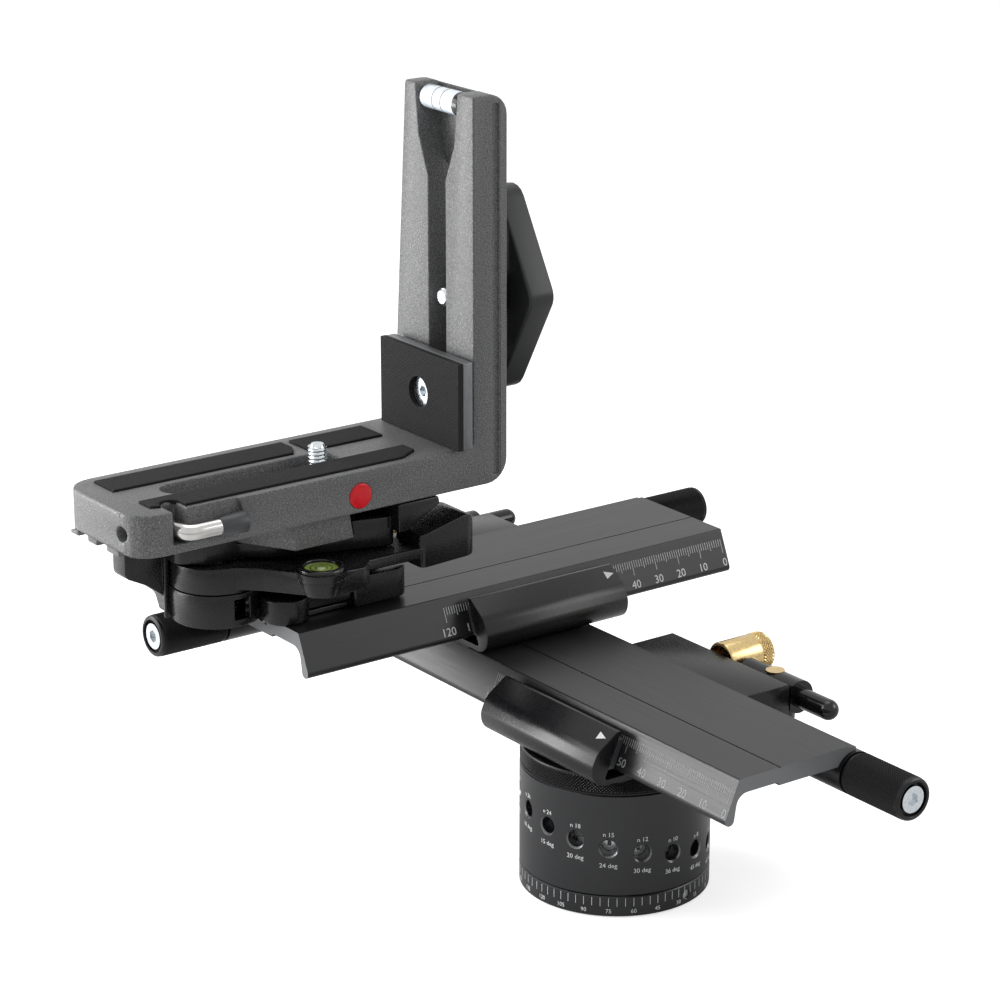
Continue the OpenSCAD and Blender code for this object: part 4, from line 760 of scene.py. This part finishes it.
def tube_level():
    """The tube level let into the top of the arm: a glass rod with two lines and a black end."""
    low, high = corners("arm_level")
    middle, radius, length = (low + high) / 2, (high[2] - low[2]) / 2, high[0] - low[0]
    black_end = 3.2
    place, cap, proud = (low[0], middle[1], middle[2]), length - black_end, radius + LINE_PROUD
    rows = [(0.0, 0.0), (0.0, radius - 0.5), (0.15, radius - 0.15), (0.5, radius), (cap, radius),
            (cap, 0.0)]
    points, faces = revolved(rows, ROD_COLUMNS)
    shells = [(along(points, place, "x"), faces, 0)]
    rows = [(cap, 0.0), (cap, proud), (length - 0.5, proud), (length - 0.15, radius - 0.15),
            (length, radius - 0.5), (length, 0.0)]
    points, faces = revolved(rows, ROD_COLUMNS)
    shells.append((along(points, place, "x"), faces, 1))
    half_line = 0.15
    for share in (0.33, 0.55):
        at = length * share
        rows = [(at - half_line, radius - 0.1), (at - half_line, proud), (at + half_line, proud),
                (at + half_line, radius - 0.1)]
        points, faces = revolved(rows, ROD_COLUMNS, closed=True)
        shells.append((along(points, place, "x"), faces, 2))
    make_piece("tube_level", shells, body_of("arm_level"),
               [FINISHES["level_white"], FINISHES["gloss_black"], FINISHES["vial_line"]], ["arm_level"],
               DISC_SHARP)


def plain_badge():
    """The plain red disc on the bracket's side, slightly domed."""
    low, high = corners("badge_disc")
    middle, radius, thick = (low + high) / 2, (high[2] - low[2]) / 2, high[0] - low[0]
    dome = 0.16
    rows = [(0.0, 0.0), (0.0, radius)] + rim(radius, BADGE_RIM, thick)
    rows += [(thick + dome * 0.75, radius * 0.5), (thick + dome, 0.0)]
    points, faces = revolved(rows, ROD_COLUMNS)
    make_piece("domed_badge", [(along(points, (low[0], middle[1], middle[2]), "x"), faces, 0)],
               body_of("badge_disc"), [FINISHES["badge_red"]], ["badge_disc"], DISC_SHARP)


round_level()
tube_level()
plain_badge()


# Index plunger and index holes

FIRST_AZIMUTH = -102.6
AZIMUTH_STEP = 20.2
FIRST_HEIGHT = 30.1
HEIGHT_DROP = 1.96
PLUNGER_HOLE = -4
SETTLING_ROUNDS = 12
STOPS = {-4: 72, -3: 60, -2: 48, -1: 40, 0: 36, 1: 24, 2: 18, 3: 15, 4: 12, 5: 10, 6: 8, 7: 6, 8: 5, 9: 4}


def hole_place(k):
    """Azimuth in degrees and height of an index hole: they run down and round the drum in equal steps."""
    return FIRST_AZIMUTH + AZIMUTH_STEP * k, FIRST_HEIGHT - HEIGHT_DROP * k


def plunger():
    """The index plunger's knob: knurled, with a shallow turned face, square to its azimuth."""
    azimuth, z = hole_place(PLUNGER_HOLE)
    length, radius, out, bore = 12.0, 6.0, 34.3, 1.52
    columns, cut, knurl_start, knurl_stop = 96, 0.34, 0.6, 1.0
    rows = [(length / 2, 0.0), (length / 2, bore), (0.0, bore)] + rim(radius, PLUNGER_START)
    rows += knurl_rows(knurl_start, length - knurl_stop, radius, cut, columns)
    rows += rim(radius, PLUNGER_END, length) + hollow(length, PLUNGER_HOLLOW)
    points, faces = revolved(rows, columns)
    place = turned_out(points + [out, 0, 0], azimuth) + [0, 0, z]
    make_piece("knurled_plunger", [(place, faces, 0)], body_of("plunger_knob"),
               [FINISHES["knurl_black"]], ["plunger_knob"], KNURL_SHARP)


def hole_rims():
    """Bright rims of the index holes, each from its bore along the countersink to the drum's round face."""
    drum, bore, sink, lift, count = corners("index_drum")[1][0], 2.75, 0.6, 0.02, 48
    phi = 2 * np.pi * np.arange(count) / count
    wide = np.full(count, bore + sink)
    for settling in range(SETTLING_ROUNDS):
        wide = bore + np.sqrt(drum ** 2 - (wide * np.cos(phi)) ** 2) - drum + sink
    inner, deep = np.full(count, bore + 0.02), np.full(count, drum - sink)
    face = np.sqrt(drum ** 2 - (wide * np.cos(phi)) ** 2)
    rings = [np.stack([out, radius * np.cos(phi), radius * np.sin(phi)], 1)
             for out, radius in ((deep, inner), (face, wide), (face + lift, wide), (deep + lift, inner))]
    points = np.concatenate(rings)
    faces = []
    for ring in range(4):
        a, b = ring * count, ((ring + 1) % 4) * count
        faces += [[a + i, a + (i + 1) % count, b + (i + 1) % count, b + i] for i in range(count)]
    shells = []
    for k in STOPS:
        azimuth, z = hole_place(k)
        shells.append((turned_out(points, azimuth) + [0, 0, z], faces, 0))
    make_piece("hole_rims", shells, body_of("index_drum"), [FINISHES["rim_steel"]],
               sharp=DISC_SHARP)


plunger()
hole_rims()


# Ribs of the rubber pads, and the pointers of the scales

RIB_SUNK = 0.04
SHORTEST_RIB = 1.4
FLAT_WITHIN = 0.004
FIRST_LINE = 0.8
LAST_LINE = 0.4
OFF_CORNERS = 0.0007
RIB_SHARP = 20


def face_spans(node, axis, sign, angle, pitch):
    """Where parallel lines, pitch apart and turned by angle degrees, cross the flat face of a solid: the
    outline is made of the edges that only one of the face's triangles has. Gives (start, end, place) of
    each stretch."""
    solid = NODES[node]
    place = np.array([solid.matrix_world @ v.co for v in solid.data.vertices]) / MM
    level = place[:, axis].max() if sign > 0 else place[:, axis].min()
    flat = [k for k in range(3) if k != axis]
    c, s = math.cos(math.radians(angle)), math.sin(math.radians(angle))
    turned = place[:, flat] @ np.array([[c, -s], [s, c]])
    used = {}
    for face in solid.data.polygons:
        if all(abs(place[v, axis] - level) < FLAT_WITHIN for v in face.vertices):
            ring = [tuple(np.round(turned[v], 3)) for v in face.vertices]
            for a, b in zip(ring, ring[1:] + ring[:1]):
                if a != b:
                    pair = tuple(sorted((a, b)))
                    used[pair] = used.get(pair, 0) + 1
    outline = [pair for pair, count in used.items() if count == 1]
    low = min(a[1] for pair in outline for a in pair)
    high = max(a[1] for pair in outline for a in pair)
    spans = []
    for line in np.arange(low + pitch * FIRST_LINE, high - pitch * LAST_LINE, pitch) + OFF_CORNERS:
        cross = sorted(a[0] + (b[0] - a[0]) * (line - a[1]) / (b[1] - a[1])
                       for a, b in outline if (a[1] - line) * (b[1] - line) < 0)
        spans += [(p, q, line) for p, q in zip(cross[::2], cross[1::2]) if q - p > SHORTEST_RIB]
    return spans, level, flat, (c, s)


def ribs(name, node, axis, sign, angles, pitch, wide, tall, inset):
    """Fine three sided ribs on a flat face of a pad, along the spans of each angle."""
    section = ((-wide / 2, -RIB_SUNK), (wide / 2, -RIB_SUNK), (0.0, tall))
    shells = []
    for angle in angles:
        spans, level, flat, (c, s) = face_spans(node, axis, sign, angle, pitch)
        for start, end, line in spans:
            reaches = (start + inset, end - inset)
            rows = [(reach, line + side, up) for reach in reaches for side, up in section]
            points = np.zeros((6, 3))
            for k, (p, q, up) in enumerate(rows):
                points[k, flat] = (c * p - s * q, s * p + c * q)
                points[k, axis] = level + sign * up
            faces = [[0, 1, 4, 3], [1, 2, 5, 4], [2, 0, 3, 5], [0, 2, 1], [3, 4, 5]]
            a, b, d = points[1] - points[0], points[2] - points[0], points[3] - points[0]
            if np.cross(a, b) @ d < 0:
                faces = [face[::-1] for face in faces]
            shells.append((points, faces, 0))
    make_piece(name, shells, body_of(node), [FINISHES["rubber"]], sharp=RIB_SHARP)


ribs("front_pad_ribs", "front_pad", 2, 1, (0,), pitch=0.85, wide=0.5, tall=0.16, inset=0.5)
ribs("rear_pad_ribs", "rear_pads", 2, 1, (0,), pitch=0.85, wide=0.5, tall=0.16, inset=0.5)
ribs("plate_pad_hatch", "plate_pad", 1, -1, (32, 122), pitch=1.0, wide=0.42, tall=0.10, inset=0.35)


LOWER_POINTER = ([23.99, -25.13, 65.96], [24.39, -27.51, 64.29], [27.99, -26.25, 65.18])
UPPER_POINTER = ([-53.71, 36.40, 84.52], [-52.45, 39.87, 83.64], [-51.07, 36.18, 82.67])
LOWER_NORMAL = np.array([0, -0.574, 0.819])
UPPER_NORMAL = np.array([0.574, 0, 0.819])


def pointers():
    """The white triangles on the hooks, beside the end of each scale: thin prisms on the sloping face."""
    sunk, proud = 0.05, 0.03
    places = (("lower", LOWER_POINTER, LOWER_NORMAL), ("upper", UPPER_POINTER, UPPER_NORMAL))
    for level, ring, normal in places:
        ring = np.array(ring, float)
        points = np.concatenate([ring - normal * sunk, ring + normal * proud])
        faces = [[0, 2, 1], [3, 4, 5], [0, 1, 4, 3], [1, 2, 5, 4], [2, 0, 3, 5]]
        if np.cross(ring[1] - ring[0], ring[2] - ring[0]) @ normal < 0:
            faces = [face[::-1] for face in faces]
        make_piece(level + "_pointer", [(points, faces, 0)], body_of(level + "_carriage"),
                   [FINISHES["paint"]])


pointers()


# Engraved scales and numbers

PROUD = 0.01
RING_ZERO = 33.4
FOLD = np.array([0.0, -17.76, 67.9])
LIP_LENGTH = 15.878
SLOPE = np.array([0.0, -6.24, -14.6]) / LIP_LENGTH
LIP_OUT = np.array([0.0, -14.6, 6.24]) / LIP_LENGTH
SCALE_PROUD = 0.02
LINE_START = 3.4
NUMBER_PLACE = 11.6
LONG_LINE, MIDDLE_LINE, SHORT_LINE = 5.1, 3.4, 2.6
LOWER_ZERO, UPPER_ZERO = 81.3, 82.0


def drum_marks():
    """White numbers beside the index holes and the degree scale of the ring below."""
    radius = corners("index_drum")[1][0] + PROUD
    count_tall, degrees_tall, above, below = 1.55, 1.6, 4.9, 5.9
    shells = []
    for k, count in STOPS.items():
        azimuth, z = hole_place(k)
        shells.append((*wrapped(words(f"n {count}", count_tall), radius, azimuth, z + above), 0))
        shells.append((*wrapped(words(f"{360 / count:g} deg", degrees_tall), radius, azimuth, z - below), 0))
    make_piece("index_numbers", shells, "turret", [FINISHES["paint"]])
    high = corners("scale_ring")[1]
    radius, line_z = high[0] + PROUD, high[2] - 1.95
    line_wide, line_tall, number_tall, number_z = 0.16, 2.9, 1.45, 2.25
    shells = []
    for degrees in range(0, 360, 5):
        azimuth = RING_ZERO - degrees
        shells.append((*wrapped(bar(line_wide, line_tall), radius, azimuth, line_z), 0))
        if degrees % 15 == 0:
            shells.append((*wrapped(words(str(degrees), number_tall), radius, azimuth, number_z), 0))
    make_piece("ring_numbers", shells, "ring", [FINISHES["paint"]])


def slide_scale(level, zero):
    """The millimetre scale on the sloping lip, from 120 to 0: each mark is at FOLD plus SLOPE times down."""
    line_wide, number_tall = 0.17, 2.9
    shells = []
    for mark in range(0, 121):
        length = LONG_LINE if mark % 10 == 0 else MIDDLE_LINE if mark % 5 == 0 else SHORT_LINE
        side = np.array([zero - mark, 0, 0])
        origin = FOLD + SLOPE * (LINE_START + length / 2) + LIP_OUT * SCALE_PROUD + side
        shells.append((*laid(bar(line_wide, length), origin, (1, 0, 0), -SLOPE), 0))
        if mark % 10 == 0:
            origin = FOLD + SLOPE * NUMBER_PLACE + LIP_OUT * SCALE_PROUD + side
            shells.append((*laid(words(str(mark), number_tall), origin, (1, 0, 0), -SLOPE), 0))
    if level == "upper":
        shells = [(to_upper(points), faces, mark) for points, faces, mark in shells]
    # the lower scale gets the darkened engraving paint, which is painted shade
    look = FINISHES["paint" if level == "upper" else "paint_in_painted_shade"]
    make_piece(level + "_scale", shells, level + "_plate", [look])


drum_marks()
slide_scale("lower", LOWER_ZERO)
slide_scale("upper", UPPER_ZERO)


# Floor, light and world

FLOOR_SIZE = 12.0
FLOOR_GREY = 0.86
FLOOR_ROUGHNESS = 0.9
FLOOR_SPECULAR = 0.1
FLOOR_GLOW = 0.58
SURROUND = 0.42
AIM = Vector((-0.02, -0.02, 0.12))

# Each lamp: name, azimuth and elevation in degrees, distance, width and height in metres, watts

LAMPS = (("left_softbox", -128, 20, 1.1, 1.0, 0.75, 9.5), ("right_softbox", 50, 26, 1.1, 0.6, 0.5, 3.5),
         ("low_left_strip", -134, 5, 0.65, 0.36, 0.24, 2.6), ("top_softbox", 150, 74, 1.2, 0.8, 0.8, 4.0))


def pale_floor():
    """A pale floor that keeps the shadow, and glows for the camera alone, to look white."""
    size = FLOOR_SIZE
    floor_mesh = bpy.data.meshes.new("floor")
    floor_mesh.from_pydata([(-size, -size, 0), (size, -size, 0), (size, size, 0), (-size, size, 0)], [],
                           [(0, 1, 2, 3)])
    floor = bpy.data.objects.new("floor", floor_mesh)
    bpy.context.scene.collection.objects.link(floor)
    material = bpy.data.materials.new("pale_floor")
    material.use_nodes = True
    nodes, links = material.node_tree.nodes, material.node_tree.links
    surface = nodes["Principled BSDF"]
    surface.inputs["Base Color"].default_value = (FLOOR_GREY, FLOOR_GREY, FLOOR_GREY, 1)
    surface.inputs["Roughness"].default_value = FLOOR_ROUGHNESS
    surface.inputs["Specular IOR Level"].default_value = FLOOR_SPECULAR
    surface.inputs["Emission Color"].default_value = (1, 1, 1, 1)
    path = nodes.new("ShaderNodeLightPath")
    strength = nodes.new("ShaderNodeMath")
    strength.operation = "MULTIPLY"
    strength.inputs[1].default_value = FLOOR_GLOW
    links.new(path.outputs["Is Camera Ray"], strength.inputs[0])
    links.new(strength.outputs["Value"], surface.inputs["Emission Strength"])
    floor_mesh.materials.append(material)


def soft_lamps():
    """Rectangular lamps, each turned to the middle of the head and not seen by the camera."""
    for name, azimuth, elevation, distance, width, height, power in LAMPS:
        lamp_data = bpy.data.lights.new(name, "AREA")
        lamp_data.shape = "RECTANGLE"
        lamp_data.size, lamp_data.size_y = width, height
        lamp_data.energy = power
        lamp = bpy.data.objects.new(name, lamp_data)
        bpy.context.scene.collection.objects.link(lamp)
        a, e = math.radians(azimuth), math.radians(elevation)
        direction = Vector((math.cos(a) * math.cos(e), math.sin(a) * math.cos(e), math.sin(e)))
        lamp.location = AIM + direction * distance
        lamp.visible_camera = False
        lamp.rotation_euler = direction.to_track_quat("Z", "Y").to_euler()


def white_surround():
    """A world that lights the object at SURROUND, and is white to the camera, to gloss and through
    glass."""
    world = bpy.data.worlds.new("surround")
    bpy.context.scene.world = world
    world.use_nodes = True
    nodes, links = world.node_tree.nodes, world.node_tree.links
    background = nodes["Background"]
    background.inputs["Color"].default_value = (1, 1, 1, 1)
    path = nodes.new("ShaderNodeLightPath")
    seen = nodes.new("ShaderNodeMath")
    seen.operation = "MAXIMUM"
    also = nodes.new("ShaderNodeMath")
    also.operation = "MAXIMUM"
    level = nodes.new("ShaderNodeMapRange")
    level.inputs["To Min"].default_value = SURROUND
    level.inputs["To Max"].default_value = 1.0
    links.new(path.outputs["Is Camera Ray"], seen.inputs[0])
    links.new(path.outputs["Is Glossy Ray"], seen.inputs[1])
    links.new(seen.outputs["Value"], also.inputs[0])
    links.new(path.outputs["Is Transmission Ray"], also.inputs[1])
    links.new(also.outputs["Value"], level.inputs["Value"])
    links.new(level.outputs["Result"], background.inputs["Strength"])


pale_floor()
soft_lamps()
white_surround()
bpy.context.scene.view_settings.view_transform = "Standard"
